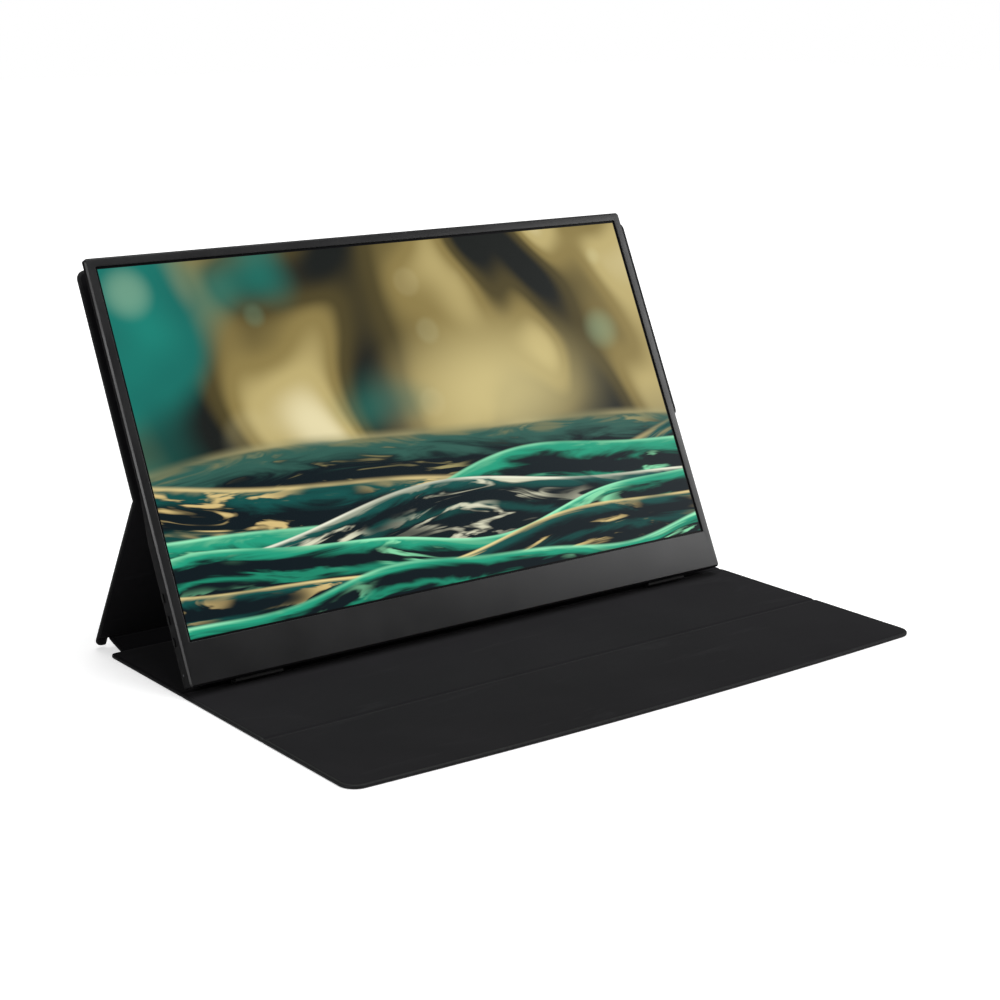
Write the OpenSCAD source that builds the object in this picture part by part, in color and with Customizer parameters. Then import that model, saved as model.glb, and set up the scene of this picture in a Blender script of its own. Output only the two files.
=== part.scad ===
// Portable monitor standing in its folding cover.
//
// Millimetres. X runs to the right along the screen, Y points away from the viewer, Z is up.
// The origin lies on the table, straight below the lower front edge of the monitor, midway along it.
//
// The cover is one folded sandwich of skin, stiff boards and lining. Seen from the right it runs from
// the back panel, which clings to the monitor with magnets, over the fold down the leg to the table,
// round the narrow spine, and forward in three strips, the last of which is the flap.
// The leg and the stretch of monitor below the fold are the two equal sides of a triangle, so the
// monitor's rounded feet stay on the table strips while the screen leans more or less.

/* [Screen] */
// Width of the visible picture
picture_w = 344.16; // [300:0.01:380]
// Height of the visible picture
picture_h = 193.59; // [170:0.01:215]
// Black border between the picture and the bezel
picture_border = 1.2; // [0.6:0.1:2]
// Thickness of the glass of the display
glass_t = 0.9; // [0.6:0.1:1.2]
// Thickness of the light guide behind the glass
light_guide_t = 1; // [0.6:0.1:1.4]

/* [Monitor housing] */
// Width of the bezel at each side of the picture
side_bezel = 6.4; // [5.5:0.1:12]
// Height of the bezel above the picture
top_bezel = 6.1; // [5.2:0.1:12]
// Height of the bezel below the picture
bottom_bezel = 23.2; // [20:0.1:32]
// Thickness of the monitor from front to back
monitor_t = 9.4; // [9:0.1:12]
// Thickness of the bezel frame
bezel_t = 2; // [1.8:0.1:2.6]
// Thickness of the lip that holds the glass
bezel_lip = 0.8; // [0.5:0.1:1]
// Bevel round the front of the bezel
bezel_bevel = 0.9; // [0.3:0.1:1.4]
// Thickness of the housing's side walls
wall_t = 1.4; // [1:0.1:2]
// Thickness of the housing's back wall
back_t = 1; // [0.8:0.1:1.4]
// Radius of the four corners seen from the front
corner_r = 2; // [1.2:0.1:5]
// Radius round the back edges
rear_round = 2.4; // [1:0.1:2.8]

/* [Buttons and sockets] */
// Height of the lowest button above the lower edge
button_v = 24; // [20:0.5:40]
// Distance from one button to the next
button_pitch = 11.3; // [8:0.1:16]
// Number of buttons on the left side
button_count = 3; // [3]
// Length of a button
button_l = 4.8; // [3.5:0.1:7]
// Width of a button
button_w = 2; // [1.4:0.1:2.8]
// How far a button stands out
button_proud = 0.6; // [0.5:0.05:1]
// Travel of a button
button_travel = 0.4; // [0.2:0.05:0.45]
// Height of the status light above the lower edge
status_light_v = 7; // [4:0.5:14]
// Height of the headphone socket above the lower edge
headphone_v = 30; // [27:0.5:34]
// Height of the lower data socket above the lower edge
data_socket_v = 45; // [42:0.5:48]
// Distance from the lower data socket to the upper one
data_socket_pitch = 15; // [12:0.5:18]
// Height of the video socket above the lower edge
video_socket_v = 78; // [75:0.5:82]
// Radius of the headphone socket's bore
headphone_bore_r = 1.78; // [1.75:0.01:1.9]
// Depth of the headphone socket's bore
headphone_bore_l = 14; // [12:0.5:16]

/* [Feet] */
// Length of each rubber foot
foot_l = 28; // [12:1:60]
// Distance of each foot's middle from the side of the monitor
foot_inset = 40.5; // [32:0.5:80]
// Radius of the foot's rounded underside
foot_r = 3.6; // [3.4:0.1:3.8]
// How far a foot stands out of the monitor's lower edge
foot_proud = 1.9; // [1.4:0.1:2.1]

/* [Cover] */
// How much wider the cover is than the monitor
cover_extra = 9.4; // [8:0.1:30]
// How far the cover's middle lies to the right of the monitor's
cover_shift = 3.6; // [-4:0.1:4]
// Thickness of the skin on the outside
skin_t = 0.5; // [0.3:0.05:0.7]
// Thickness of the stiff boards
board_t = 0.9; // [0.6:0.05:1.4]
// Thickness of the lining on the inside
lining_t = 0.4; // [0.2:0.05:0.6]
// Width of the turned edge of the skin
rim_w = 1.6; // [1.2:0.1:3]
// Height of the fold above the monitor's lower edge
fold_v = 98.5; // [85:0.5:110]
// How far the back panel stops below the monitor's top edge
panel_drop = 4.9; // [2:0.1:20]
// How much longer the three table strips are together than the monitor is high
strip_extra = 6.6; // [4:0.1:20]
// How much shorter the flap's sides are than the other two strips
flap_drop = 3.5; // [1.5:0.1:6]
// How much further the front edge reaches in its middle than at its ends
front_bow = 4.6; // [2:0.1:8]
// How far the spine stops short of the cover's sides
spine_inset = 7.5; // [4:0.5:20]
// Play of the spine round the closed monitor
spine_play = 0.6; // [0.2:0.1:2]
// Radius of the front corners
front_corner_r = 9; // [4:0.5:14]
// Radius of the corners at the back panel's top
panel_corner_r = 5; // [3:0.5:12]
// Radius of the corners at the leg's foot and the rear of the table strips
foot_corner_r = 4.5; // [3:0.5:8]

/* [Pose] */
// How far the screen leans back from upright, in degrees
lean = 26; // [20:1:32]

/* [Clearances] */
// Gap between parts that are put together
fit_gap = 0.1; // [0.05:0.01:0.15]
// Gap between the rounded nose of a fold and the hollow round it
fold_gap = 0.15; // [0.1:0.05:0.3]

/* [Hidden] */

$fn = 48;
past = 1;                       // how far a cutter runs past the face that it cuts

black_shell = [0.10, 0.10, 0.11];
black_glass = [0.02, 0.03, 0.04];
black_leather = [0.07, 0.07, 0.08];
charcoal_lining = [0.14, 0.14, 0.16];
grey_board = [0.45, 0.45, 0.44];
magnet_silver = [0.75, 0.75, 0.77];
circuit_green = [0.05, 0.30, 0.18];
cable_brown = [0.55, 0.35, 0.12];

// Outside of the monitor
housing_w = picture_w + 2 * side_bezel;
housing_h = picture_h + top_bezel + bottom_bezel;
side_x = housing_w / 2;
foot_x = side_x - foot_inset;
cavity_back = monitor_t - back_t;

// The display module lies behind the bezel's lip: glass, light guide, then the tray's floor
module_edge = 4.2;              // how far the module reaches past the picture at the sides
module_top = 2.6;               // and above the picture
module_foot = 9;                // and below it, where the light bar lies
tray_t = 0.4;
module_w = picture_w + 2 * module_edge;
module_v0 = bottom_bezel - module_foot;
module_v1 = bottom_bezel + picture_h + module_top;
glass_back = bezel_lip + glass_t;
tray_floor = glass_back + fit_gap + light_guide_t;
tray_back = tray_floor + tray_t;

// Circuit boards
circuit_t = 0.8;
boss_h = 0.4;
boss_r = 2.4;
main_board_back = cavity_back - boss_h;
main_board_front = main_board_back - circuit_t;
main_board_v0 = headphone_v - 8;
main_board_v1 = video_socket_v + 11;
main_board_w = 64;
main_board_x1 = side_x - wall_t - 0.4;
main_board_x0 = main_board_x1 - main_board_w;
chips = [[24, 20, 6], [24, 42, 5], [40, 54, 3.5]];     // place along and up the board, half the width
chip_t = 1.1;
screw_inset = 4;
socket_reach = 22;              // how far in from its end the board's screws stay clear of the sockets
screw_r = 0.75;
screw_head_r = 1.5;
screw_head_h = 0.7;
screw_places = [
    [main_board_x0 + screw_inset, main_board_v0 + screw_inset],
    [main_board_x0 + screw_inset, main_board_v1 - screw_inset],
    [main_board_x1 - socket_reach, main_board_v0 + screw_inset],
    [main_board_x1 - socket_reach, main_board_v1 - screw_inset]
];
display_board_v0 = wall_t + fit_gap;
display_board_v1 = module_v0 - 0.6;
display_board_half = 60;
cable_t = 0.2;
cable_x0 = display_board_half - 14;
cable_x1 = display_board_half - 2;
cable_v1 = main_board_v0 + 16;
cable_front = tray_back + fit_gap;

// Sockets on the right side, all with their mouths just inside the wall
mouth_x = side_x - 0.3;
data_l = 9;
data_w = 3.2;
data_depth = 7.4;
video_l = 11.2;
video_w = 3.2;
video_depth = 7.8;
shell_t = 0.3;
socket_d = main_board_front - data_w / 2;
jack_nose_r = 2.3;
jack_body_w = 4.5;
jack_body_l = 6.4;
jack_rear_gap = 0.55;           // between the socket's body and the housing's back wall
jack_d = cavity_back - jack_rear_gap - jack_body_w / 2;

// Buttons on the left side
button_d = 5.9;
button_flange = 0.8;            // how far the flange stands out round the button, and its thickness
switch_h = 1.1;
flange_x = -side_x + wall_t + fit_gap / 2;
switch_x = flange_x + button_flange + button_travel + fit_gap / 2;
button_board_x = switch_x + switch_h;
button_board_front = tray_back + 0.6;
status_light_r = 0.6;
status_light_d = 5.4;

// Speakers behind slots in the lower back
speaker_x = 88;
speaker_l = 30;
speaker_t = 3.6;
speaker_v0 = wall_t + fit_gap;
speaker_v1 = module_v0 - 1;
slot_count = 7;
slot_pitch = 3;
slot_w = 1.1;
slot_l = 6;

// Sizes of the cover that follow the monitor's
cover_w = housing_w + cover_extra;
back_panel_h = housing_h - panel_drop - fold_v;
strip_l = (housing_h + strip_extra) / 3;
flap_l = strip_l - flap_drop;

// Rows of magnets in the back panel, and the steel strips that they cling to
magnet_row_inset = 22;
magnet_rows = [magnet_row_inset, back_panel_h - magnet_row_inset];
magnet_x = housing_w * 0.33;
magnet_l = 34;
magnet_w = 9;
steel_w = 14;
steel_t = 0.4;

// The monitor's lower back edge rolls about the centre of its rounded feet
cover_t = skin_t + board_t + lining_t;
foot_back = 1.6;                // from the roll centre to the monitor's back
foot_front = 4.4;               // from the roll centre forward to the foot's front edge
roll_d = monitor_t - foot_back;
roll_v = foot_r - foot_proud;
roll_z = cover_t + foot_r + fit_gap;
front_edge_z = roll_z - roll_v * cos(lean) + roll_d * sin(lean);
roll_y = roll_d * cos(lean) + roll_v * sin(lean);

// The fold, on the cover's outside, where the leg leaves the back panel
fold_d = monitor_t + fit_gap + cover_t;
fold_y = fold_d * cos(lean) + fold_v * sin(lean);
fold_z = front_edge_z - fold_d * sin(lean) + fold_v * cos(lean);

// The leg's foot mirrors the roll centre in the upright through the fold
half_run = fold_y - roll_y;
rise = fold_z - roll_z;
link = norm([half_run, rise]);
link_slope = atan2(rise, half_run);
foot_y = fold_y + half_run;
foot_z = roll_z;
leg_l = sqrt(link * link - cover_t * cover_t);
leg_slope = link_slope - atan2(cover_t, leg_l);
fold_bend = lean + 90 - leg_slope;

// The spine climbs from the table strips to the leg's foot
spine_w = monitor_t + 2 * cover_t + spine_play;
spine_slope = asin((foot_z - cover_t) / spine_w);
base_rear_y = foot_y - spine_w * cos(spine_slope);
base_l = 2 * strip_l;
flap_hinge_y = base_rear_y - base_l;
spine_half = cover_w / 2 - spine_inset;
crease_w = 1.6;
crease_depth = 0.2;
board_break = 2.4;              // gap between two boards at a crease
nose_steps = 10;                // facets round a fold's nose
tongue_l = 1;                   // tongues by which a nose holds in the rim of its plate
tongue_inset = 0.3;
tongue_lap = 0.1;

// ---------------------------------------------------------------- helpers

// Puts a piece drawn as [x, depth behind the front face, height up the face] on the leaning monitor
module on_screen() {
    translate([0, 0, front_edge_z]) rotate([-lean, 0, 0]) children();
}

// A flat outline of [x, height] made solid between two depths
module slab(d0, d1) {
    translate([0, d1, 0]) rotate([90, 0, 0]) linear_extrude(d1 - d0) children();
}

// A flat outline of [depth, height] made solid between two places along X
module bar(x0, x1) {
    translate([x0, 0, 0]) rotate([90, 0, 90]) linear_extrude(x1 - x0) children();
}

// A plain block between two corners
module block(low, high) {
    translate(low) cube(high - low);
}

module rounded(x0, x1, y0, y1, r) {
    translate([x0 + r, y0]) square([x1 - x0 - 2 * r, y1 - y0]);
    translate([x0, y0 + r]) square([x1 - x0, y1 - y0 - 2 * r]);
    for (x = [x0 + r, x1 - r], y = [y0 + r, y1 - r]) translate([x, y]) circle(r);
}

// A slot with round ends, its length upright
module slot(l, w) {
    square([w, l - w], center = true);
    for (s = [-1, 1]) translate([0, s * (l - w) / 2]) circle(w / 2);
}

function arc(x, y, r, a0, a1, n) =
    [for (i = [0:n]) [x + r * cos(a0 + (a1 - a0) * i / n), y + r * sin(a0 + (a1 - a0) * i / n)]];

// The side view of the housing: a plate from d0 to d1 deep whose front edges are bevelled and whose
// back edges are round
module plate_profile(span0, span1, d0, d1, bevel, round_r) {
    steps = 6;
    points = concat(
        [[d0, span0 + bevel], [d0 + bevel, span0]],
        round_r > 0 ? arc(d1 - round_r, span0 + round_r, round_r, 270, 360, steps) : [[d1, span0]],
        round_r > 0 ? arc(d1 - round_r, span1 - round_r, round_r, 0, 90, steps) : [[d1, span1]],
        [[d0 + bevel, span1], [d0, span1 - bevel]]
    );
    polygon(points);
}

// A plate with the monitor's outline, edges worked all round
module monitor_plate(d0, d1, bevel, round_r) {
    intersection() {
        slab(d0, d1) rounded(-side_x, side_x, 0, housing_h, corner_r);
        bar(-side_x - past, side_x + past) plate_profile(0, housing_h, d0, d1, bevel, round_r);
        translate([0, 0, -past]) linear_extrude(housing_h + 2 * past)
            rotate(-90) mirror([1, 0])
                plate_profile(-side_x, side_x, d0, d1, bevel, round_r);
    }
}

// ---------------------------------------------------------------- monitor

module front_bezel() {
    border = picture_border;
    color(black_shell) on_screen() difference() {
        monitor_plate(0, bezel_t, bezel_bevel, 0);
        slab(-past, bezel_lip + past)
            rounded(-picture_w / 2 - border, picture_w / 2 + border,
                    bottom_bezel - border, bottom_bezel + picture_h + border, 0.6);
        slab(bezel_lip, bezel_t + past)
            rounded(-module_w / 2 - fit_gap, module_w / 2 + fit_gap,
                    module_v0 - fit_gap, module_v1 + fit_gap, 0.6);
    }
}

module display_glass() {
    color(black_glass) on_screen()
        slab(bezel_lip, glass_back) rounded(-module_w / 2, module_w / 2, module_v0, module_v1, 0.5);
}

module light_guide() {
    inset = tray_t + fit_gap;
    color([0.85, 0.90, 0.92]) on_screen()
        block([-module_w / 2 + inset, glass_back + fit_gap, module_v0 + 3],
              [module_w / 2 - inset, tray_floor, module_v1 - inset]);
}

module light_bar() {
    inset = tray_t + fit_gap;
    led_count = 24;
    led_pitch = (module_w - 20) / led_count;
    color([0.95, 0.93, 0.80]) on_screen() {
        block([-module_w / 2 + inset, glass_back + fit_gap, module_v0 + inset],
              [module_w / 2 - inset, tray_floor, module_v0 + 2]);
        for (i = [0:led_count - 1])
            translate([(i - (led_count - 1) / 2) * led_pitch, 0, 0])
                block([-1.9, glass_back + 2 * fit_gap, module_v0 + 2],
                      [1.9, tray_floor - fit_gap, module_v0 + 2.9]);
    }
}

module display_tray() {
    color([0.65, 0.66, 0.68]) on_screen() difference() {
        slab(glass_back, tray_back) rounded(-module_w / 2, module_w / 2, module_v0, module_v1, 0.5);
        block([-module_w / 2 + tray_t, glass_back - past, module_v0 + tray_t],
              [module_w / 2 - tray_t, tray_floor, module_v1 - tray_t]);
    }
}

module display_board() {
    chip_v = (display_board_v0 + display_board_v1) / 2;
    color(circuit_green) on_screen() {
        block([-display_board_half, bezel_t, display_board_v0],
              [display_board_half, bezel_t + circuit_t, display_board_v1]);
        for (x = [-38, -8, 18]) translate([x, 0, 0])
            block([-5, bezel_t + circuit_t, chip_v - 3], [5, bezel_t + circuit_t + 0.9, chip_v + 3]);
        block([cable_x0, bezel_t + circuit_t, chip_v - 2], [cable_x1, cable_front, chip_v + 2]);
    }
}

// A flat cable that runs up from the display board behind the tray, then across to the main board
module display_cable() {
    cable_v0 = (display_board_v0 + display_board_v1) / 2 - 2;
    width = cable_x1 - cable_x0;
    drop_x = main_board_x0 + 9;
    color(cable_brown) on_screen() {
        block([cable_x0, cable_front, cable_v0], [cable_x1, cable_front + cable_t, cable_v1]);
        block([cable_x0, cable_front, cable_v1 - width],
              [drop_x, cable_front + cable_t, cable_v1]);
        block([drop_x - cable_t, cable_front, cable_v1 - width],
              [drop_x, main_board_front, cable_v1]);
    }
}

module main_board() {
    notch = jack_body_l / 2 + 0.3;
    color(circuit_green) on_screen() difference() {
        union() {
            block([main_board_x0, main_board_front, main_board_v0],
                  [main_board_x1, main_board_back, main_board_v1]);
            for (chip = chips) translate([main_board_x0 + chip[0], 0, main_board_v0 + chip[1]])
                block([-chip[2], main_board_front - chip_t, -chip[2]],
                      [chip[2], main_board_front, chip[2]]);
        }
        block([side_x - headphone_bore_l - 3, main_board_front - past, headphone_v - notch],
              [side_x, main_board_back + past, headphone_v + notch]);
        for (p = screw_places)
            translate([p[0], 0, p[1]]) rotate([-90, 0, 0]) cylinder(r = screw_r + fit_gap, h = monitor_t);
    }
}

module board_screws() {
    color(magnet_silver) on_screen() for (p = screw_places) translate([p[0], 0, p[1]]) {
        translate([0, main_board_front - screw_head_h, 0]) rotate([-90, 0, 0])
            cylinder(r = screw_head_r, h = screw_head_h);
        translate([0, main_board_front - 0.1, 0]) rotate([-90, 0, 0])
            cylinder(r = screw_r, h = circuit_t + boss_h + 0.5);
    }
}

// A socket's metal shell with its tongue, its mouth on the right side
module socket_shell(l, w, depth, v, tongue_l) {
    tongue_t = 0.7;
    on_screen() translate([0, socket_d, v]) {
        difference() {
            bar(mouth_x - depth, mouth_x) slot(l, w);
            bar(mouth_x - depth + 1, mouth_x + past) slot(l - 2 * shell_t, w - 2 * shell_t);
        }
        bar(mouth_x - depth + 0.5, mouth_x - 1) square([tongue_t, tongue_l], center = true);
    }
}

module lower_data_socket() {
    color(magnet_silver) socket_shell(data_l, data_w, data_depth, data_socket_v, 6.6);
}

module upper_data_socket() {
    color(magnet_silver)
        socket_shell(data_l, data_w, data_depth, data_socket_v + data_socket_pitch, 6.6);
}

module video_outline(l, w) {
    cut = 0.9;
    polygon([[-w / 2, -l / 2], [w / 2 - cut, -l / 2], [w / 2, -l / 2 + cut],
             [w / 2, l / 2 - cut], [w / 2 - cut, l / 2], [-w / 2, l / 2]]);
}

module video_socket() {
    color(magnet_silver) on_screen() translate([0, socket_d, video_socket_v]) {
        difference() {
            bar(mouth_x - video_depth, mouth_x) video_outline(video_l, video_w);
            bar(mouth_x - video_depth + 1, mouth_x + past)
                video_outline(video_l - 2 * shell_t, video_w - 2 * shell_t);
        }
        bar(mouth_x - video_depth + 0.5, mouth_x - 1) square([0.7, 8.4], center = true);
    }
}

module headphone_socket() {
    body_x1 = side_x - wall_t - fit_gap;
    color([0.12, 0.12, 0.12]) on_screen() translate([0, jack_d, headphone_v]) difference() {
        union() {
            bar(side_x - headphone_bore_l - 2, body_x1) square([jack_body_w, jack_body_l], center = true);
            rotate([0, 90, 0]) translate([0, 0, body_x1 - 0.5])
                cylinder(r = jack_nose_r, h = side_x - body_x1 + 0.5);
        }
        rotate([0, 90, 0]) translate([0, 0, side_x - headphone_bore_l])
            cylinder(r = headphone_bore_r, h = headphone_bore_l + past);
    }
}

module button_board() {
    last_v = button_v + (button_count - 1) * button_pitch;
    color(circuit_green) on_screen() {
        block([button_board_x, button_board_front, button_v - 6],
              [button_board_x + circuit_t, cavity_back, last_v + 6]);
        for (i = [0:button_count - 1]) translate([0, button_d, button_v + i * button_pitch]) {
            block([button_board_x - 0.7, -1.5, -1.5], [button_board_x, 1.5, 1.5]);
            rotate([0, 90, 0]) translate([0, 0, switch_x]) cylinder(r = 0.8, h = switch_h);
        }
    }
}

// A button with a flange that keeps it in the wall
module side_button(i) {
    color(black_shell) on_screen() translate([0, button_d, button_v + i * button_pitch]) {
        bar(-side_x - button_proud, flange_x + 0.1) slot(button_l, button_w);
        bar(flange_x, flange_x + button_flange) slot(button_l + button_flange, button_w + button_flange);
    }
}

module lower_button() { side_button(0); }
module middle_button() { side_button(1); }
module upper_button() { side_button(2); }

module status_light() {
    color([0.80, 0.85, 0.90]) on_screen()
        translate([-side_x + 0.05, status_light_d, status_light_v]) rotate([0, 90, 0])
            cylinder(r = status_light_r, h = wall_t + 1);
}

// A flat speaker in its frame, with a shallow cone facing the back
module speaker(side) {
    mid_v = (speaker_v0 + speaker_v1) / 2;
    half_h = (speaker_v1 - speaker_v0) / 2;
    color([0.16, 0.16, 0.17]) on_screen() translate([side * speaker_x, 0, mid_v]) difference() {
        slab(cavity_back - speaker_t, cavity_back)
            rounded(-speaker_l / 2, speaker_l / 2, -half_h, half_h, 1.5);
        slab(cavity_back - 0.9, cavity_back + past)
            rounded(-speaker_l / 2 + 1.2, speaker_l / 2 - 1.2, -half_h + 1.2, half_h - 1.2, 1);
    }
}

module left_speaker() { speaker(-1); }
module right_speaker() { speaker(1); }

module steel_strips() {
    color([0.55, 0.56, 0.58]) on_screen() for (s = magnet_rows)
        block([-magnet_x - magnet_l / 2 - 2, cavity_back - steel_t, fold_v + s - steel_w / 2],
              [magnet_x + magnet_l / 2 + 2, cavity_back, fold_v + s + steel_w / 2]);
}

module rear_housing() {
    color(black_shell) on_screen() difference() {
        union() {
            difference() {
                monitor_plate(bezel_t, monitor_t, 0, rear_round);
                slab(bezel_t - past, cavity_back)
                    rounded(-side_x + wall_t, side_x - wall_t, wall_t, housing_h - wall_t, 0.8);
            }
            for (p = screw_places) translate([p[0], main_board_back, p[1]]) rotate([-90, 0, 0])
                cylinder(r = boss_r, h = boss_h + back_t / 2);
        }
        for (p = screw_places) translate([p[0], main_board_back - past, p[1]]) rotate([-90, 0, 0])
            cylinder(r = screw_r + fit_gap / 2, h = past + boss_h + 0.5);
        button_slots();
        translate([-side_x - past, status_light_d, status_light_v]) rotate([0, 90, 0])
            cylinder(r = status_light_r + fit_gap / 2, h = wall_t + 2 * past);
        socket_holes();
        speaker_slots();
    }
}

module button_slots() {
    for (i = [0:button_count - 1]) translate([0, button_d, button_v + i * button_pitch])
        bar(-side_x - past, -side_x + wall_t + past)
            slot(button_l + 2 * fit_gap, button_w + 2 * fit_gap);
}

module socket_holes() {
    x0 = side_x - wall_t - past;
    x1 = side_x + past;
    for (v = [data_socket_v, data_socket_v + data_socket_pitch])
        translate([0, socket_d, v]) bar(x0, x1) slot(data_l + 2 * fit_gap, data_w + 2 * fit_gap);
    translate([0, socket_d, video_socket_v]) bar(x0, x1)
        square([video_w + 2 * fit_gap, video_l + 2 * fit_gap], center = true);
    translate([x0, jack_d, headphone_v]) rotate([0, 90, 0])
        cylinder(r = jack_nose_r + fit_gap, h = x1 - x0);
}

module speaker_slots() {
    mid_v = (speaker_v0 + speaker_v1) / 2;
    for (side = [-1, 1], i = [0:slot_count - 1])
        translate([side * speaker_x + (i - (slot_count - 1) / 2) * slot_pitch, 0, mid_v])
            slab(cavity_back - past, monitor_t + past) slot(slot_l, slot_w);
}

// A rubber foot: its underside is part of a circle about the roll centre, its top follows the housing
module rubber_foot(side) {
    gap = fit_gap / 2;
    color([0.20, 0.20, 0.20]) on_screen() difference() {
        bar(side * foot_x - foot_l / 2, side * foot_x + foot_l / 2) difference() {
            union() {
                translate([roll_d, roll_v]) circle(foot_r, $fn = 96);
                translate([roll_d - foot_front + 0.6, -foot_proud]) square([foot_front - 0.6, foot_proud]);
                translate([roll_d - foot_front, -foot_proud + 0.6]) square([foot_front, foot_proud - 0.6]);
                translate([roll_d - foot_front + 0.6, -foot_proud + 0.6]) circle(0.6);
            }
            plate_profile(-gap, housing_h, -past, monitor_t + gap, 0, rear_round + gap);
            translate([monitor_t - 0.4, -2 * foot_r]) square([2 * foot_r, 8 * foot_r]);
        }
    }
}

module left_foot() { rubber_foot(-1); }
module right_foot() { rubber_foot(1); }

// ---------------------------------------------------------------- cover

// The outline of a panel, from its hinge at y = 0 to its far edge, drawn in by d all round.
// The far edge bulges by bow in its middle. A corner of no radius is square.
module panel_outline(l, near_r, far_r, bow, d) {
    half = cover_w / 2;
    big_r = (half * half + bow * bow) / (2 * max(bow, 0.01));
    big_y = l + bow - big_r;
    nr = near_r > 0 ? max(near_r - d, 0.3) : 0;
    fr = far_r > 0 ? max(far_r - d, 0.3) : 0;
    corner_x = half - d - fr;
    corner_y = bow > 0
        ? big_y + sqrt(pow(big_r - d - fr, 2) - corner_x * corner_x)
        : l - d - fr;
    turn = bow > 0 ? atan2(corner_y - big_y, corner_x) : 90;
    polygon(concat(
        nr > 0 ? arc(-half + d + nr, d + nr, nr, 180, 270, 6) : [[-half + d, d]],
        nr > 0 ? arc(half - d - nr, d + nr, nr, 270, 360, 6) : [[half - d, d]],
        fr > 0 ? arc(corner_x, corner_y, fr, 0, turn, 8) : [[corner_x, corner_y]],
        bow > 0 ? arc(0, big_y, big_r - d, turn + 2, 178 - turn, 32) : [],
        fr > 0 ? arc(-corner_x, corner_y, fr, 180 - turn, 180, 8) : [[-corner_x, corner_y]]
    ));
}

// The skin: a thin sheet turned up round its edges. It lies with its outside on z = 0.
module skin_sheet(l, near_r, far_r, bow) {
    difference() {
        linear_extrude(cover_t) panel_outline(l, near_r, far_r, bow, 0);
        translate([0, 0, skin_t]) linear_extrude(cover_t) panel_outline(l, near_r, far_r, bow, rim_w);
    }
}

// A layer that lies in the skin: the board or the lining
module inner_sheet(l, near_r, far_r, bow, z0, z1) {
    translate([0, 0, z0]) linear_extrude(z1 - z0)
        panel_outline(l, near_r, far_r, bow, rim_w + fit_gap);
}

// The rounded nose of a fold, about a hinge line at [0, 0]: it fills the cover's outer side between
// two directions. Tongues at its start or end reach into the plates that it joins.
module fold_nose(a0, a1, tongue_at_start, tongue_at_end) {
    polygon(concat([[0, 0]], arc(0, 0, cover_t, a0, a1, nose_steps)));
    width = cover_t - 2 * tongue_inset;
    if (tongue_at_start)
        rotate(a0) translate([tongue_inset, -tongue_l]) square([width, tongue_l + tongue_lap]);
    if (tongue_at_end)
        rotate(a1) translate([tongue_inset, -tongue_lap]) square([width, tongue_l + tongue_lap]);
}

// The back panel: local Y runs up from the fold, local Z from the skin to the lining
module on_back_panel() {
    translate([cover_shift, fold_y, fold_z]) rotate([90 - lean, 0, 0]) children();
}

module back_panel_skin() {
    color(black_leather) {
        on_back_panel() skin_sheet(back_panel_h, 0, panel_corner_r, 0);
        translate([cover_shift, fold_y, fold_z])
            bar(-cover_w / 2, cover_w / 2) fold_nose(180 - lean, 180 - lean + fold_bend, true, false);
    }
}

module magnet_places() {
    for (y = magnet_rows, x = [-magnet_x, 0, magnet_x]) translate([x - cover_shift, y, 0]) children();
}

module back_panel_board() {
    color(grey_board) on_back_panel() difference() {
        inner_sheet(back_panel_h, 0, panel_corner_r, 0, skin_t, skin_t + board_t);
        magnet_places() translate([-magnet_l / 2 - fit_gap, -magnet_w / 2 - fit_gap, skin_t - past])
            cube([magnet_l + 2 * fit_gap, magnet_w + 2 * fit_gap, board_t + 2 * past]);
    }
}

module back_panel_lining() {
    color(charcoal_lining) on_back_panel()
        inner_sheet(back_panel_h, 0, panel_corner_r, 0, skin_t + board_t, cover_t);
}

module back_panel_magnets() {
    color(magnet_silver) on_back_panel() magnet_places()
        translate([-magnet_l / 2, -magnet_w / 2, skin_t]) cube([magnet_l, magnet_w, board_t]);
}

// The leg: local Y runs up from its foot, local Z from the skin to the lining
module on_leg() {
    translate([cover_shift, foot_y, foot_z]) rotate([90 - leg_slope, 0, 0])
        translate([0, cover_t, 0]) rotate([90, 0, 0]) children();
}

// What the folds at both ends of the leg sweep
module leg_hollows() {
    hollow_r = cover_t + fold_gap;
    translate([cover_shift, fold_y, fold_z])
        bar(-cover_w / 2 - past, cover_w / 2 + past) circle(hollow_r, $fn = 64);
    translate([cover_shift, foot_y, foot_z])
        bar(-spine_half - fold_gap, spine_half + fold_gap) circle(hollow_r, $fn = 64);
}

module leg_skin() {
    color(black_leather) difference() {
        on_leg() skin_sheet(leg_l, foot_corner_r, 0, 0);
        leg_hollows();
    }
}

module leg_board() {
    color(grey_board) difference() {
        on_leg() inner_sheet(leg_l, foot_corner_r, 0, 0, skin_t, skin_t + board_t);
        leg_hollows();
    }
}

module leg_lining() {
    color(charcoal_lining) difference() {
        on_leg() inner_sheet(leg_l, foot_corner_r, 0, 0, skin_t + board_t, cover_t);
        leg_hollows();
    }
}

// The strips on the table: local Y runs forward from the rear edge
module on_table(y) {
    translate([cover_shift, y, 0]) rotate(180) children();
}

// The spine: local Y climbs from the strips to the leg's foot, the lining on top at z = 0
module on_spine() {
    translate([cover_shift, base_rear_y, cover_t]) rotate([spine_slope, 0, 0]) children();
}

// The side view of the spine with its two folds, as [y, z]: from the table strips' rear edge up to
// the leg's foot, round the foot's fold and back underneath, with a tongue into the strips' rim
module spine_profile() {
    polygon(concat(
        [[base_rear_y, cover_t], [foot_y, foot_z]],
        arc(foot_y, foot_z, cover_t, 90 - leg_slope, spine_slope - 90, nose_steps),
        arc(base_rear_y, cover_t, cover_t, spine_slope - 90, -90, 4),
        [[base_rear_y, tongue_inset], [base_rear_y - tongue_l, tongue_inset],
         [base_rear_y - tongue_l, cover_t - tongue_inset], [base_rear_y, cover_t - tongue_inset]]
    ));
}

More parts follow.
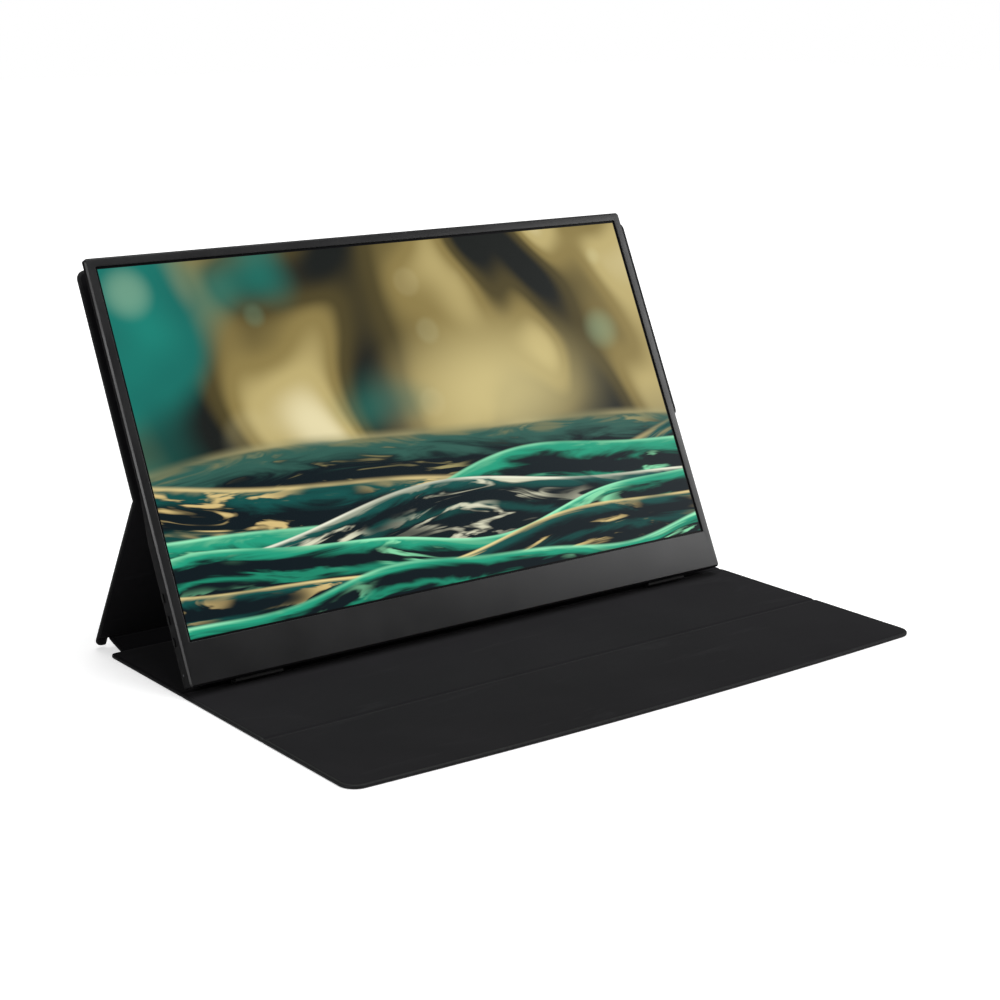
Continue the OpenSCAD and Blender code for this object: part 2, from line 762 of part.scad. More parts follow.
module base_skin() {
    color(black_leather) difference() {
        union() {
            on_table(base_rear_y) skin_sheet(base_l, foot_corner_r, 0, 0);
            translate([cover_shift, 0, 0]) bar(-spine_half, spine_half) spine_profile();
            translate([cover_shift, flap_hinge_y, cover_t])
                bar(-cover_w / 2, cover_w / 2) fold_nose(180, 270, false, true);
        }
        on_spine() translate([-spine_half + rim_w, rim_w, -cover_t + skin_t])
            cube([2 * (spine_half - rim_w), spine_w - 2 * rim_w, cover_t]);
    }
}

module spine_board() {
    side = rim_w + fit_gap;
    color(grey_board) on_spine() translate([-spine_half + side, side, -cover_t + skin_t])
        cube([2 * (spine_half - side), spine_w - 2 * side, board_t]);
}

// One of the two boards under the lining, cut from the whole sheet where the crease lies
module strip_board(from, to) {
    color(grey_board) on_table(base_rear_y) intersection() {
        inner_sheet(base_l, foot_corner_r, 0, 0, skin_t, skin_t + board_t);
        translate([-cover_w, from, 0]) cube([2 * cover_w, to - from, cover_t]);
    }
}

module rear_strip_board() { strip_board(0, strip_l - board_break / 2); }
module middle_strip_board() { strip_board(strip_l + board_break / 2, base_l); }

module base_lining() {
    side = rim_w + fit_gap;
    color(charcoal_lining) {
        on_table(base_rear_y) difference() {
            inner_sheet(base_l, foot_corner_r, 0, 0, skin_t + board_t, cover_t);
            translate([-cover_w, strip_l - crease_w / 2, cover_t - crease_depth])
                cube([2 * cover_w, crease_w, cover_t]);
        }
        on_spine() translate([-spine_half + side, side, -lining_t])
            cube([2 * (spine_half - side), spine_w - 2 * side, lining_t]);
    }
}

module flap_hollow() {
    translate([cover_shift, flap_hinge_y, cover_t])
        bar(-cover_w / 2 - past, cover_w / 2 + past) circle(cover_t + fold_gap, $fn = 64);
}

module flap_skin() {
    color(black_leather) difference() {
        on_table(flap_hinge_y) skin_sheet(flap_l, 0, front_corner_r, front_bow);
        flap_hollow();
    }
}

module flap_magnet_places() {
    for (x = [-magnet_x, -magnet_x / 3, magnet_x / 3, magnet_x])
        translate([x, flap_l - rim_w - 4, 0]) children();
}

module flap_board() {
    color(grey_board) difference() {
        on_table(flap_hinge_y) difference() {
            inner_sheet(flap_l, 0, front_corner_r, front_bow, skin_t, skin_t + board_t);
            flap_magnet_places() translate([-8 - fit_gap, -2.5 - fit_gap, skin_t - past])
                cube([16 + 2 * fit_gap, 5 + 2 * fit_gap, board_t + 2 * past]);
        }
        flap_hollow();
    }
}

module flap_lining() {
    color(charcoal_lining) difference() {
        on_table(flap_hinge_y)
            inner_sheet(flap_l, 0, front_corner_r, front_bow, skin_t + board_t, cover_t);
        flap_hollow();
    }
}

module flap_magnets() {
    color(magnet_silver) on_table(flap_hinge_y) flap_magnet_places()
        translate([-8, -2.5, skin_t]) cube([16, 5, board_t]);
}

front_bezel();
display_glass();
light_guide();
light_bar();
display_tray();
display_board();
display_cable();
main_board();
board_screws();
lower_data_socket();
upper_data_socket();
video_socket();
headphone_socket();
button_board();
lower_button();
middle_button();
upper_button();
status_light();
left_speaker();
right_speaker();
steel_strips();
rear_housing();
left_foot();
right_foot();
back_panel_skin();
back_panel_board();
back_panel_lining();
back_panel_magnets();
leg_skin();
leg_board();
leg_lining();
base_skin();
spine_board();
rear_strip_board();
middle_strip_board();
base_lining();
flap_skin();
flap_board();
flap_lining();
flap_magnets();
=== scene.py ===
"""Looks of a slim monitor that leans on its own folding cover.

Metres. X runs to the right along the screen, Y points away from the viewer, Z is up, and the
origin lies on the table straight below the monitor's lower front edge.
"""
import math
from contextlib import contextmanager

import bmesh
import bpy
import numpy as np
from mathutils import Matrix, Vector
from mathutils.geometry import delaunay_2d_cdt


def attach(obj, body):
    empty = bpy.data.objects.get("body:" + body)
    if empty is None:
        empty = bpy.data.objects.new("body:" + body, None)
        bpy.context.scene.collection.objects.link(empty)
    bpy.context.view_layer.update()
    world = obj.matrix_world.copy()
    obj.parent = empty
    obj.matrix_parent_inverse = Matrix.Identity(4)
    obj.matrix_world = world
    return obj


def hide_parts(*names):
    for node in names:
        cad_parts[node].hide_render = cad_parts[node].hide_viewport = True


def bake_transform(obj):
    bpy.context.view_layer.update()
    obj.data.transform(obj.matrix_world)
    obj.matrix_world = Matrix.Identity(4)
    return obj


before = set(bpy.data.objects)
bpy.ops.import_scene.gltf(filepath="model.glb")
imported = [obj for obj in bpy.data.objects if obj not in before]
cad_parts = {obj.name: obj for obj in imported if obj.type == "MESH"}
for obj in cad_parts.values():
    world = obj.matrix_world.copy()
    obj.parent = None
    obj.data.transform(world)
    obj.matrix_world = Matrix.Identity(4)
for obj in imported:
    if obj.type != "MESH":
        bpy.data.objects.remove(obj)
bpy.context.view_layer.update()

# -------------------- sizes, as in the solid model

MM = 0.001
LEAN = math.radians(26)
PICTURE_W, PICTURE_H = 344.16, 193.59
PICTURE_ASPECT = PICTURE_W / PICTURE_H
SIDE_BEZEL, TOP_BEZEL, BOTTOM_BEZEL = 6.4, 6.1, 23.2
PICTURE_BORDER = 1.2
HOUSING_W = PICTURE_W + 2 * SIDE_BEZEL
HOUSING_H = PICTURE_H + TOP_BEZEL + BOTTOM_BEZEL
SIDE_X = HOUSING_W / 2
MONITOR_T = 9.4
BEZEL_T = 2.0
BEZEL_LIP = 0.8
MODULE_SIDE, MODULE_ABOVE, MODULE_BELOW = 4.3, 2.7, 9.1     # the display past its picture
MODULE_HALF = PICTURE_W / 2 + MODULE_SIDE
MODULE_V0 = BOTTOM_BEZEL - MODULE_BELOW
MODULE_V1 = BOTTOM_BEZEL + PICTURE_H + MODULE_ABOVE
SOCKET_D = 5.6
MOUTH_X = SIDE_X - 0.3
JACK_D, JACK_V = 5.6, 30.0
JACK_BORE_R = 1.78

COVER_T = 1.8
SKIN_T = 0.5
LINING_T = 0.4
COVER_PAST = 9.4            # the cover is this much wider than the housing, both sides together
SPINE_SHORT = 7.5           # the spine's end lies this far inside the cover's
COVER_HALF = (HOUSING_W + COVER_PAST) / 2
SPINE_HALF = COVER_HALF - SPINE_SHORT
COVER_SHIFT = 3.6
SPREAD = 0.7                # the soft edges swell past the boards, more on the right
RIM = 1.7                   # width of the skin's turned rim
FOLD_V = 98.5
PANEL_DROP = 3.0            # from the monitor's top to the back panel's
PANEL_H = HOUSING_H - PANEL_DROP - FOLD_V
TABLE_PAST, FLAP_SHORT = 6.6, 3.5
STRIP_L = (HOUSING_H + TABLE_PAST) / 3
FLAP_L = STRIP_L - FLAP_SHORT
FRONT_BOW = 4.6
FRONT_CORNER_R, PANEL_CORNER_R, FOOT_CORNER_R = 9.0, 5.0, 4.5
TAB_L = 5.4                 # the leg's outer corners reach this far past the fold at its foot
SEAM_UP_LEG = 8.0           # the cover's pieces meet this far up the leg
HINGE_SEAM = 4.0            # and this far behind the flap's crease
CREASE_HALF = 0.4
BEND_HALF = 1.2             # the flap bends over this much on each side of its crease

sin_lean, cos_lean = math.sin(LEAN), math.cos(LEAN)
FOOT_R, FOOT_PROUD, FIT_GAP = 3.6, 1.9, 0.1
FOOT_IN, SPINE_SLACK = 1.6, 0.6
ROLL_D = MONITOR_T - FOOT_IN
ROLL_V = FOOT_R - FOOT_PROUD
ROLL_Z = COVER_T + FOOT_R + FIT_GAP
EDGE_Z = ROLL_Z - ROLL_V * cos_lean + ROLL_D * sin_lean
ROLL_Y = ROLL_D * cos_lean + ROLL_V * sin_lean
FOLD_D = MONITOR_T + FIT_GAP + COVER_T
FOLD = Vector((FOLD_D * cos_lean + FOLD_V * sin_lean,
               EDGE_Z - FOLD_D * sin_lean + FOLD_V * cos_lean))
FOOT = Vector((2 * FOLD.x - ROLL_Y, ROLL_Z))
LEG_L = math.sqrt((FOOT - FOLD).length_squared - COVER_T ** 2)
LEG_TURN = (math.pi / 2 - math.atan2(FOLD.y - FOOT.y, FOOT.x - FOLD.x)
            + math.atan2(COVER_T, LEG_L))
LEG_UP = Vector((-math.sin(LEG_TURN), math.cos(LEG_TURN)))
LEG_OUT = Vector((math.cos(LEG_TURN), math.sin(LEG_TURN)))
SPINE_W = MONITOR_T + 2 * COVER_T + SPINE_SLACK
SPINE_TURN = math.asin((FOOT.y - COVER_T) / SPINE_W)
REAR_Y = FOOT.x - SPINE_W * math.cos(SPINE_TURN)
FLAP_Y = REAR_Y - 2 * STRIP_L

ON_SCREEN = Matrix.Translation((0, 0, EDGE_Z)) @ Matrix.Rotation(-LEAN, 4, "X")


def on_screen(x, depth, height):
    """A point of the leaning monitor, from millimetres across, behind and up its front face."""
    return (ON_SCREEN @ Vector((x, depth, height))) * MM


# -------------------- wiring of materials

class Wiring:
    """Adds nodes to one tree and joins them."""

    def __init__(self, tree):
        self.tree = tree

    def set(self, socket, value):
        if isinstance(value, bpy.types.NodeSocket):
            self.tree.links.new(value, socket)
            return
        if isinstance(value, tuple) and len(value) == 3 and socket.type == "RGBA":
            value = (*value, 1)
        socket.default_value = value

    def node(self, kind, fields=(), **inputs):
        n = self.tree.nodes.new(kind)
        for name, value in dict(fields).items():
            setattr(n, name, value)
        for name, value in inputs.items():
            self.set(n.inputs[name.replace("_", " ")], value)
        return n

    def math(self, operation, a, b=0.0, c=0.0, clamp=False):
        n = self.node("ShaderNodeMath", {"operation": operation, "use_clamp": clamp})
        for socket, value in zip(n.inputs, (a, b, c)):
            self.set(socket, value)
        return n.outputs[0]

    def vector(self, operation, a, b=(0, 0, 0)):
        n = self.node("ShaderNodeVectorMath", {"operation": operation})
        self.set(n.inputs[0], a)
        self.set(n.inputs[1], b)
        return n.outputs[0]

    def stretch(self, vector, by):
        return self.vector("MULTIPLY", vector, by)

    def mix(self, factor, a, b):
        n = self.node("ShaderNodeMix", {"data_type": "RGBA"})
        self.set(n.inputs[0], factor)
        self.set(n.inputs[6], a)        # inputs 6 and 7 and output 2 are the node's colours
        self.set(n.inputs[7], b)
        return n.outputs[2]

    def ease(self, value, low, high, to_low=0.0, to_high=1.0):
        """Runs smoothly from to_low to to_high while value runs from low to high."""
        n = self.node("ShaderNodeMapRange", {"interpolation_type": "SMOOTHSTEP"},
                      Value=value, From_Min=low, From_Max=high, To_Min=to_low, To_Max=to_high)
        return n.outputs[0]

    def ramp(self, value, stops):
        n = self.node("ShaderNodeValToRGB", Fac=value)
        n.color_ramp.interpolation = "EASE"
        while len(n.color_ramp.elements) < len(stops):
            n.color_ramp.elements.new(0.5)
        for element, (place, colour) in zip(n.color_ramp.elements, stops):
            element.position = place
            element.color = (*colour, 1)
        return n.outputs[0]

    def noise(self, at, scale, detail=2.0, roughness=0.5, distortion=0.0):
        n = self.node("ShaderNodeTexNoise", Vector=at, Scale=scale, Detail=detail,
                      Roughness=roughness, Distortion=distortion)
        return n.outputs["Fac"]

    def cells(self, at, scale, feature="F1", randomness=1.0):
        return self.node("ShaderNodeTexVoronoi", {"feature": feature}, Vector=at, Scale=scale,
                         Randomness=randomness)

    def object_place(self):
        return self.node("ShaderNodeTexCoord").outputs["Object"]

    def split(self, vector):
        return self.node("ShaderNodeSeparateXYZ", Vector=vector).outputs

    def join(self, x, y, z=0.0):
        return self.node("ShaderNodeCombineXYZ", X=x, Y=y, Z=z).outputs[0]

    def surface(self, output, shader):
        self.tree.links.new(shader.outputs[0], self.node(output).inputs["Surface"])


def effect(name, inputs, outputs):
    """A node group for an effect that several finishes share."""
    tree = bpy.data.node_groups.new(name, "ShaderNodeTree")
    for title, value in inputs.items():
        socket = tree.interface.new_socket(title, in_out="INPUT", socket_type="NodeSocketFloat")
        socket.default_value = value
    for title, kind in outputs.items():
        tree.interface.new_socket(title, in_out="OUTPUT", socket_type="NodeSocket" + kind)
    wiring = Wiring(tree)
    return wiring, wiring.node("NodeGroupInput").outputs, wiring.node("NodeGroupOutput").inputs


def place_effect(wiring, group, **inputs):
    return wiring.node("ShaderNodeGroup", {"node_tree": group}, **inputs).outputs


def moulded_texture():
    """Fine grain of moulded plastic, with slow changes of tone."""
    w, given, made = effect("moulded_texture", {"Grain": 0.0004},
                            {"Height": "Float", "Tone": "Float"})
    at = w.object_place()
    scale = w.math("DIVIDE", 1.0, given["Grain"])
    fine = w.noise(at, scale, 2.0, 0.6)
    cells = w.cells(at, w.math("MULTIPLY", scale, 0.6), "SMOOTH_F1").outputs["Distance"]
    w.set(made["Height"], w.math("MULTIPLY_ADD", cells, 0.5, fine))
    slow = w.noise(at, 28.0, 3.0, 0.55)
    w.set(made["Tone"], w.ease(slow, 0.3, 0.7))
    return w.tree


def pebbled_leather():
    """Small rounded pebbles of imitation leather, with finer pores on them."""
    w, given, made = effect("pebbled_leather", {"Pebble": 0.0008},
                            {"Height": "Float", "Tone": "Float"})
    at = w.object_place()
    scale = w.math("DIVIDE", 1.0, given["Pebble"])
    wander = w.node("ShaderNodeTexNoise", Vector=at, Scale=420.0, Detail=1.0).outputs["Color"]
    bent = w.vector("ADD", at, w.stretch(wander, (0.0005, 0.0005, 0.0005)))
    pebble = w.cells(bent, scale, "DISTANCE_TO_EDGE").outputs["Distance"]
    dome = w.ease(pebble, 0.0, 0.32)
    pores = w.noise(at, w.math("MULTIPLY", scale, 4.0), 2.0, 0.6)
    w.set(made["Height"], w.math("MULTIPLY_ADD", pores, 0.18, dome))
    w.set(made["Tone"], w.math("MULTIPLY", dome, w.noise(at, 35.0, 3.0, 0.6)))
    return w.tree


def soft_nap():
    """Short fibres of a brushed lining, with faint rubbed patches and handling marks."""
    w, given, made = effect("soft_nap", {"Fibre": 0.0003},
                            {"Height": "Float", "Tone": "Float", "Rub": "Float"})
    at = w.object_place()
    scale = w.math("DIVIDE", 1.0, given["Fibre"])
    fibres = w.noise(w.stretch(at, (1.0, 0.35, 0.35)), scale, 3.0, 0.7)
    cross = w.noise(w.stretch(at, (0.35, 1.0, 1.0)), scale, 3.0, 0.7)
    w.set(made["Height"], w.math("MAXIMUM", fibres, cross))
    patches = w.noise(at, 14.0, 4.0, 0.6, 0.6)
    w.set(made["Tone"], w.ease(patches, 0.3, 0.72))
    streaks = w.noise(w.stretch(at, (9.0, 42.0, 42.0)), 1.0, 4.0, 0.62, 1.1)
    w.set(made["Rub"], w.ease(streaks, 0.56, 0.76))
    return w.tree


def brushed_metal():
    """Fine lines along X, as left by rolling or brushing."""
    w, given, made = effect("brushed_metal", {"Line": 0.00015},
                            {"Height": "Float", "Tone": "Float"})
    at = w.object_place()
    scale = w.math("DIVIDE", 1.0, given["Line"])
    lines = w.noise(w.stretch(at, (0.02, 1.0, 1.0)), scale, 3.0, 0.6)
    w.set(made["Height"], lines)
    patches = w.math("MULTIPLY", w.noise(at, 60.0), 0.4)
    w.set(made["Tone"], w.math("MULTIPLY_ADD", lines, 0.6, patches))
    return w.tree


MOULDED, LEATHER, NAP, BRUSHED = moulded_texture(), pebbled_leather(), soft_nap(), brushed_metal()


def empty_wiring(owner):
    """The node tree of a new material or world, with nothing in it yet."""
    owner.use_nodes = True
    owner.node_tree.nodes.clear()
    return Wiring(owner.node_tree)


def finish(name, roughness, metallic=0.0, **uniform):
    """A new material with a Principled shader. What is the same all over goes on its sockets."""
    material = bpy.data.materials.new(name)
    w = empty_wiring(material)
    shader = w.node("ShaderNodeBsdfPrincipled", Roughness=roughness, Metallic=metallic, **uniform)
    w.surface("ShaderNodeOutputMaterial", shader)
    return material, w, shader


def grade(w, shader, tone, dark, light, roughness, spread):
    """Lets an effect's tone run from the dark to the light colour, and roughness along with it."""
    w.set(shader.inputs["Base Color"], w.mix(tone, dark, light))
    rough = w.math("MULTIPLY_ADD", tone, spread, roughness - spread / 2)
    w.set(shader.inputs["Roughness"], rough)


def raise_bumps(w, shader, height, depth, strength=1.0):
    bump = w.node("ShaderNodeBump", Strength=strength, Distance=depth, Height=height)
    w.set(shader.inputs["Normal"], bump.outputs[0])


def plastic(name, dark, light, roughness, grain=0.0004, depth=0.00002, specular=0.5):
    material, w, shader = finish(name, roughness, Specular_IOR_Level=specular)
    texture = place_effect(w, MOULDED, Grain=grain)
    grade(w, shader, texture["Tone"], dark, light, roughness, 0.06)
    raise_bumps(w, shader, texture["Height"], depth)
    return material


def metal(name, dark, light, roughness):
    material, w, shader = finish(name, roughness, metallic=1.0)
    lines = place_effect(w, BRUSHED, Line=0.00015)
    grade(w, shader, lines["Tone"], dark, light, roughness, 0.12)
    raise_bumps(w, shader, lines["Height"], 0.000004)
    return material


def leather(name):
    material, w, shader = finish(name, 0.55, Specular_IOR_Level=0.25)
    grain = place_effect(w, LEATHER, Pebble=0.0009)
    grade(w, shader, grain["Tone"], (0.0060, 0.0060, 0.0068), (0.0130, 0.0130, 0.0145), 0.55, -0.1)
    raise_bumps(w, shader, grain["Height"], 0.00005, 0.8)
    return material


def lining(name):
    material, w, shader = finish(name, 0.8, Specular_IOR_Level=0.1, Sheen_Weight=0.05,
                                 Sheen_Roughness=0.4)
    nap = place_effect(w, NAP, Fibre=0.00035)
    tone = w.mix(nap["Tone"], (0.0076, 0.0072, 0.0086), (0.0099, 0.0094, 0.0110))
    tone = w.mix(w.math("MULTIPLY", nap["Rub"], 0.55), tone, (0.0140, 0.0135, 0.0155))
    w.set(shader.inputs["Base Color"], tone)
    w.set(shader.inputs["Roughness"], w.math("MULTIPLY_ADD", nap["Rub"], -0.12, 0.82))
    raise_bumps(w, shader, nap["Height"], 0.00003, 0.7)
    return material


def circuit(name):
    """Green solder mask over straight copper tracks."""
    material, w, shader = finish(name, 0.4)
    at = w.object_place()
    bricks = w.node("ShaderNodeTexBrick", Vector=at, Scale=420.0, Mortar_Size=0.012,
                    Brick_Width=0.9, Row_Height=0.2)
    tracks = bricks.outputs["Fac"]
    w.set(shader.inputs["Base Color"], w.mix(tracks, (0.006, 0.055, 0.03), (0.03, 0.16, 0.08)))
    w.set(shader.inputs["Roughness"], w.math("MULTIPLY_ADD", w.noise(at, 900.0), 0.2, 0.32))
    raise_bumps(w, shader, tracks, 0.00003)
    return material


def rubber(name):
    material, w, shader = finish(name, 0.7, Specular_IOR_Level=0.35)
    grain = place_effect(w, MOULDED, Grain=0.0003)
    w.set(shader.inputs["Base Color"],
          w.mix(grain["Tone"], (0.013, 0.013, 0.013), (0.02, 0.02, 0.02)))
    w.set(shader.inputs["Roughness"], w.math("MULTIPLY_ADD", grain["Height"], 0.1, 0.6))
    raise_bumps(w, shader, grain["Height"], 0.00003)
    return material


def clear_plastic(name, colour, roughness, transmission):
    material, w, shader = finish(name, roughness, Transmission_Weight=transmission)
    at = w.object_place()
    w.set(shader.inputs["Base Color"],
          w.mix(w.noise(at, 200.0), colour, tuple(0.86 * c for c in colour)))
    raise_bumps(w, shader, w.cells(at, 1400.0).outputs["Distance"], 0.00001)
    return material


def face_place(w):
    """How far a point lies across, behind and up the monitor's front face, in metres."""
    face = w.node("ShaderNodeMapping", {"vector_type": "POINT"}, Vector=w.object_place(),
                  Location=(0, EDGE_Z * sin_lean * MM, -EDGE_Z * cos_lean * MM),
                  Rotation=(LEAN, 0, 0))
    return w.split(face.outputs[0])[:3]


def jack_plastic(name):
    """Black plastic with a plated spring round the inside of its bore."""
    material, w, shader = finish(name, 0.4)
    _, depth, height = face_place(w)
    across = w.math("SUBTRACT", depth, JACK_D * MM)
    up = w.math("SUBTRACT", height, JACK_V * MM)
    radius = w.math("SQRT", w.math("ADD", w.math("MULTIPLY", across, across),
                                   w.math("MULTIPLY", up, up)))
    plated = w.math("LESS_THAN", radius, (JACK_BORE_R + 0.05) * MM)
    grain = place_effect(w, MOULDED, Grain=0.0004)
    black = w.mix(grain["Tone"], (0.008, 0.008, 0.008), (0.014, 0.014, 0.014))
    w.set(shader.inputs["Base Color"], w.mix(plated, black, (0.72, 0.7, 0.66)))
    w.set(shader.inputs["Metallic"], plated)
    raise_bumps(w, shader, grain["Height"], 0.00001)
    return material


# -------------------- the picture on the screen

def far_haze(w, flat, across, up):
    """The far background: patches of gold, olive and shade out of focus, with a teal side."""
    wander = w.node("ShaderNodeTexNoise", Vector=flat, Scale=1.3, Detail=0.0).outputs["Color"]
    bent = w.vector("ADD", flat, w.stretch(wander, (0.5, 0.5, 0.0)))
    haze = w.noise(w.stretch(bent, (1.0, 0.75, 1.0)), 2.7, 1.0, 0.35)
    colour = w.ramp(haze, (
        (0.35, (0.008, 0.010, 0.008)), (0.46, (0.075, 0.058, 0.018)),
        (0.54, (0.27, 0.205, 0.066)), (0.62, (0.52, 0.42, 0.17)), (0.74, (0.80, 0.71, 0.42))))
    glow_x = w.math("SUBTRACT", across, 1.16)
    glow_y = w.math("SUBTRACT", up, 0.52)
    glow = w.math("SQRT", w.math("ADD", w.math("MULTIPLY", glow_x, glow_x),
                                 w.math("MULTIPLY", w.math("MULTIPLY", glow_y, glow_y), 3.0)))
    colour = w.mix(w.ease(glow, 0.50, 0.05, 0.0, 0.65), colour, (0.78, 0.66, 0.30))
    patches = w.noise(w.vector("ADD", flat, (5.3, 2.1, 0.0)), 2.2, 1.0, 0.4)
    to_left = w.math("MULTIPLY", w.math("SUBTRACT", 0.55, across), 0.28)
    cool = w.math("ADD", patches, to_left)
    teal_haze = w.mix(w.noise(flat, 3.4, 1.0), (0.004, 0.050, 0.050), (0.012, 0.31, 0.235))
    colour = w.mix(w.ease(cool, 0.49, 0.70), colour, teal_haze)
    waver = w.math("MULTIPLY", w.noise(flat, 2.6, 1.0), 0.30)
    dusk = w.ease(w.math("ADD", up, waver), 0.62, 0.34)
    return w.mix(w.math("MULTIPLY", dusk, 0.9), colour, (0.006, 0.020, 0.026))


def soft_discs(w, flat, up, colour):
    """Soft discs of light out of focus, over the haze."""
    for scale, share, size, strength, shift in ((3.1, 0.55, 0.36, 0.20, 3.7),
                                                (5.6, 0.62, 0.30, 0.16, 8.1)):
        found = w.cells(w.vector("ADD", flat, (shift, shift * 0.4, 0.0)), scale, randomness=0.85)
        pick = w.split(found.outputs["Color"])
        disc = w.ease(found.outputs["Distance"], size, size * 0.62)
        lit = w.math("MULTIPLY", disc, w.math("GREATER_THAN", pick[0], share))
        lit = w.math("MULTIPLY", lit, w.ease(up, 0.34, 0.58))
        tint = w.mix(pick[1], (1.0, 0.86, 0.50), (0.30, 0.80, 0.55))
        amount = w.math("MULTIPLY", lit, w.math("MULTIPLY_ADD", pick[2], strength, 0.05))
        colour = w.mix(amount, colour, tint)
    return colour


def glassy_ribbons(w, across, up, colour):
    """Glassy ribbons that roll along the foot of the picture, from far to near."""
    gold, pale, mint = (0.86, 0.64, 0.26), (0.92, 0.90, 0.66), (0.30, 0.86, 0.48)
    teal, sea, night = (0.016, 0.34, 0.20), (0.004, 0.080, 0.070), (0.002, 0.008, 0.011)
    # place up the picture, swing, waves, phase, softness, thickness, colours of crest and body
    ribbons = (
        (0.405, 0.055, 1.9, 0.4, 0.022, 0.22, (0.42, 0.36, 0.15), (0.03, 0.11, 0.085)),
        (0.345, 0.070, 2.4, 2.0, 0.009, 0.17, gold, sea),
        (0.285, 0.060, 3.1, 3.6, 0.004, 0.14, mint, teal),
        (0.225, 0.055, 2.7, 5.3, 0.0025, 0.11, pale, sea),
        (0.165, 0.045, 3.9, 0.9, 0.0025, 0.10, mint, teal),
        (0.105, 0.040, 3.3, 2.7, 0.003, 0.09, gold, sea),
        (0.050, 0.030, 4.6, 4.4, 0.005, 0.08, mint, teal),
    )
    for i, (base, swing, waves, phase, soft, thick, crest, body) in enumerate(ribbons):
        slow = w.math("SINE", w.math("MULTIPLY_ADD", across, waves, phase))
        quick = w.math("SINE", w.math("MULTIPLY_ADD", across, waves * 2.3, phase * 1.7))
        line = w.math("MULTIPLY_ADD", slow, swing, base)
        line = w.math("MULTIPLY_ADD", quick, swing * 0.28, line)
        below = w.math("SUBTRACT", line, up)
        along = w.join(w.math("MULTIPLY", across, 3.2), w.math("MULTIPLY", below, 17.0), 3.1 * i)
        streak = w.noise(along, 1.0, 3.0, 0.5, 1.9)
        drift = w.noise(w.join(w.math("MULTIPLY", across, 2.3), w.math("MULTIPLY", below, 5.0),
                               7.7 + i), 1.0, 2.0)
        inner = w.math("DIVIDE", below, thick)
        deep = w.math("MULTIPLY_ADD", inner, 0.8, -0.26)
        tone = w.ramp(w.math("MULTIPLY_ADD", streak, 0.55, deep), (
            (0.0, tuple(0.35 * c + 0.5 * b for c, b in zip(crest, body))), (0.12, body),
            (0.32, night), (0.52, night), (0.66, tuple(0.7 * b for b in body)), (0.80, night)))
        shine = w.math("MULTIPLY", w.ease(streak, 0.53, 0.64), w.ease(drift, 0.44, 0.60))
        tone = w.mix(w.math("MULTIPLY", shine, 0.8), tone, crest)
        edge = w.math("MULTIPLY", w.ease(below, 0.011, 0.0), w.ease(drift, 0.34, 0.62, 0.12, 1.0))
        tone = w.mix(edge, tone, tuple(min(1.0, 1.15 * c + 0.05) for c in crest))
        colour = w.mix(w.ease(below, -soft, soft), colour, tone)
    return colour


def lit_field(w, across, up, depth):
    """1 on the picture's own field, and 0 past its edges or behind the front face."""
    lit = w.math("MULTIPLY", w.math("GREATER_THAN", across, 0.0),
                 w.math("LESS_THAN", across, PICTURE_ASPECT))
    for test in (("GREATER_THAN", up, 0.0), ("LESS_THAN", up, 1.0),
                 ("LESS_THAN", depth, (BEZEL_LIP + 0.05) * MM)):
        lit = w.math("MULTIPLY", lit, w.math(*test))
    return lit


def picture_effect():
    """A made-up wallpaper. Places on it count in its own heights, from its lower left corner."""
    w, _, made = effect("screen_picture", {}, {"Color": "Color"})
    x, depth, height = face_place(w)
    unit = 1 / (PICTURE_H * MM)
    across = w.math("MULTIPLY_ADD", x, unit, PICTURE_ASPECT / 2)
    up = w.math("MULTIPLY_ADD", height, unit, -BOTTOM_BEZEL / PICTURE_H)
    flat = w.join(across, up)
    colour = soft_discs(w, flat, up, far_haze(w, flat, across, up))
    colour = glassy_ribbons(w, across, up, colour)
    w.set(made["Color"], w.mix(lit_field(w, across, up, depth), (0.0, 0.0, 0.0), colour))
    return w.tree


def screen_glass(name):
    material, w, shader = finish(name, 0.36, Specular_IOR_Level=0.08, Emission_Strength=1.0)
    shown = place_effect(w, PICTURE)
    w.set(shader.inputs["Emission Color"], shown["Color"])
    at = w.object_place()
    w.set(shader.inputs["Base Color"],
          w.mix(w.noise(at, 30.0), (0.002, 0.002, 0.003), (0.004, 0.004, 0.005)))
    raise_bumps(w, shader, w.noise(at, 9000.0), 0.000001)
    return material


PICTURE = picture_effect()

HOUSING = plastic("housing_plastic", (0.0080, 0.0080, 0.0087), (0.0105, 0.0105, 0.0112), 0.33,
                  depth=0.000008, specular=0.42)
SHELL = plastic("shell_plastic", (0.0045, 0.0045, 0.0050), (0.0065, 0.0065, 0.0070), 0.62,
                depth=0.000012, specular=0.10)
BUTTON = plastic("button_plastic", (0.0022, 0.0022, 0.0024), (0.0032, 0.0032, 0.0034), 0.55,
                 depth=0.000006, specular=0.12)
SPEAKER = plastic("speaker_plastic", (0.006, 0.006, 0.006), (0.010, 0.010, 0.010), 0.6)
FIBRE_BOARD = plastic("fibre_board", (0.28, 0.27, 0.25), (0.36, 0.35, 0.32), 0.8, grain=0.0008)
FLAT_CABLE = plastic("cable_film", (0.30, 0.12, 0.02), (0.40, 0.17, 0.03), 0.3)
JACK = jack_plastic("jack_plastic")
GLASS = screen_glass("screen_glass")
SKIN = leather("cover_leather")
LINING = lining("cover_lining")
FOOT_RUBBER = rubber("foot_rubber")
BOARD_GREEN = circuit("circuit_board")
PLATED = metal("plated_steel", (0.50, 0.50, 0.52), (0.66, 0.66, 0.68), 0.32)
SHEET_METAL = metal("tray_aluminium", (0.60, 0.61, 0.63), (0.75, 0.76, 0.78), 0.38)
NICKEL = metal("magnet_nickel", (0.55, 0.54, 0.52), (0.70, 0.69, 0.66), 0.22)
GOLD = metal("contact_gold", (0.75, 0.52, 0.20), (0.90, 0.66, 0.30), 0.25)
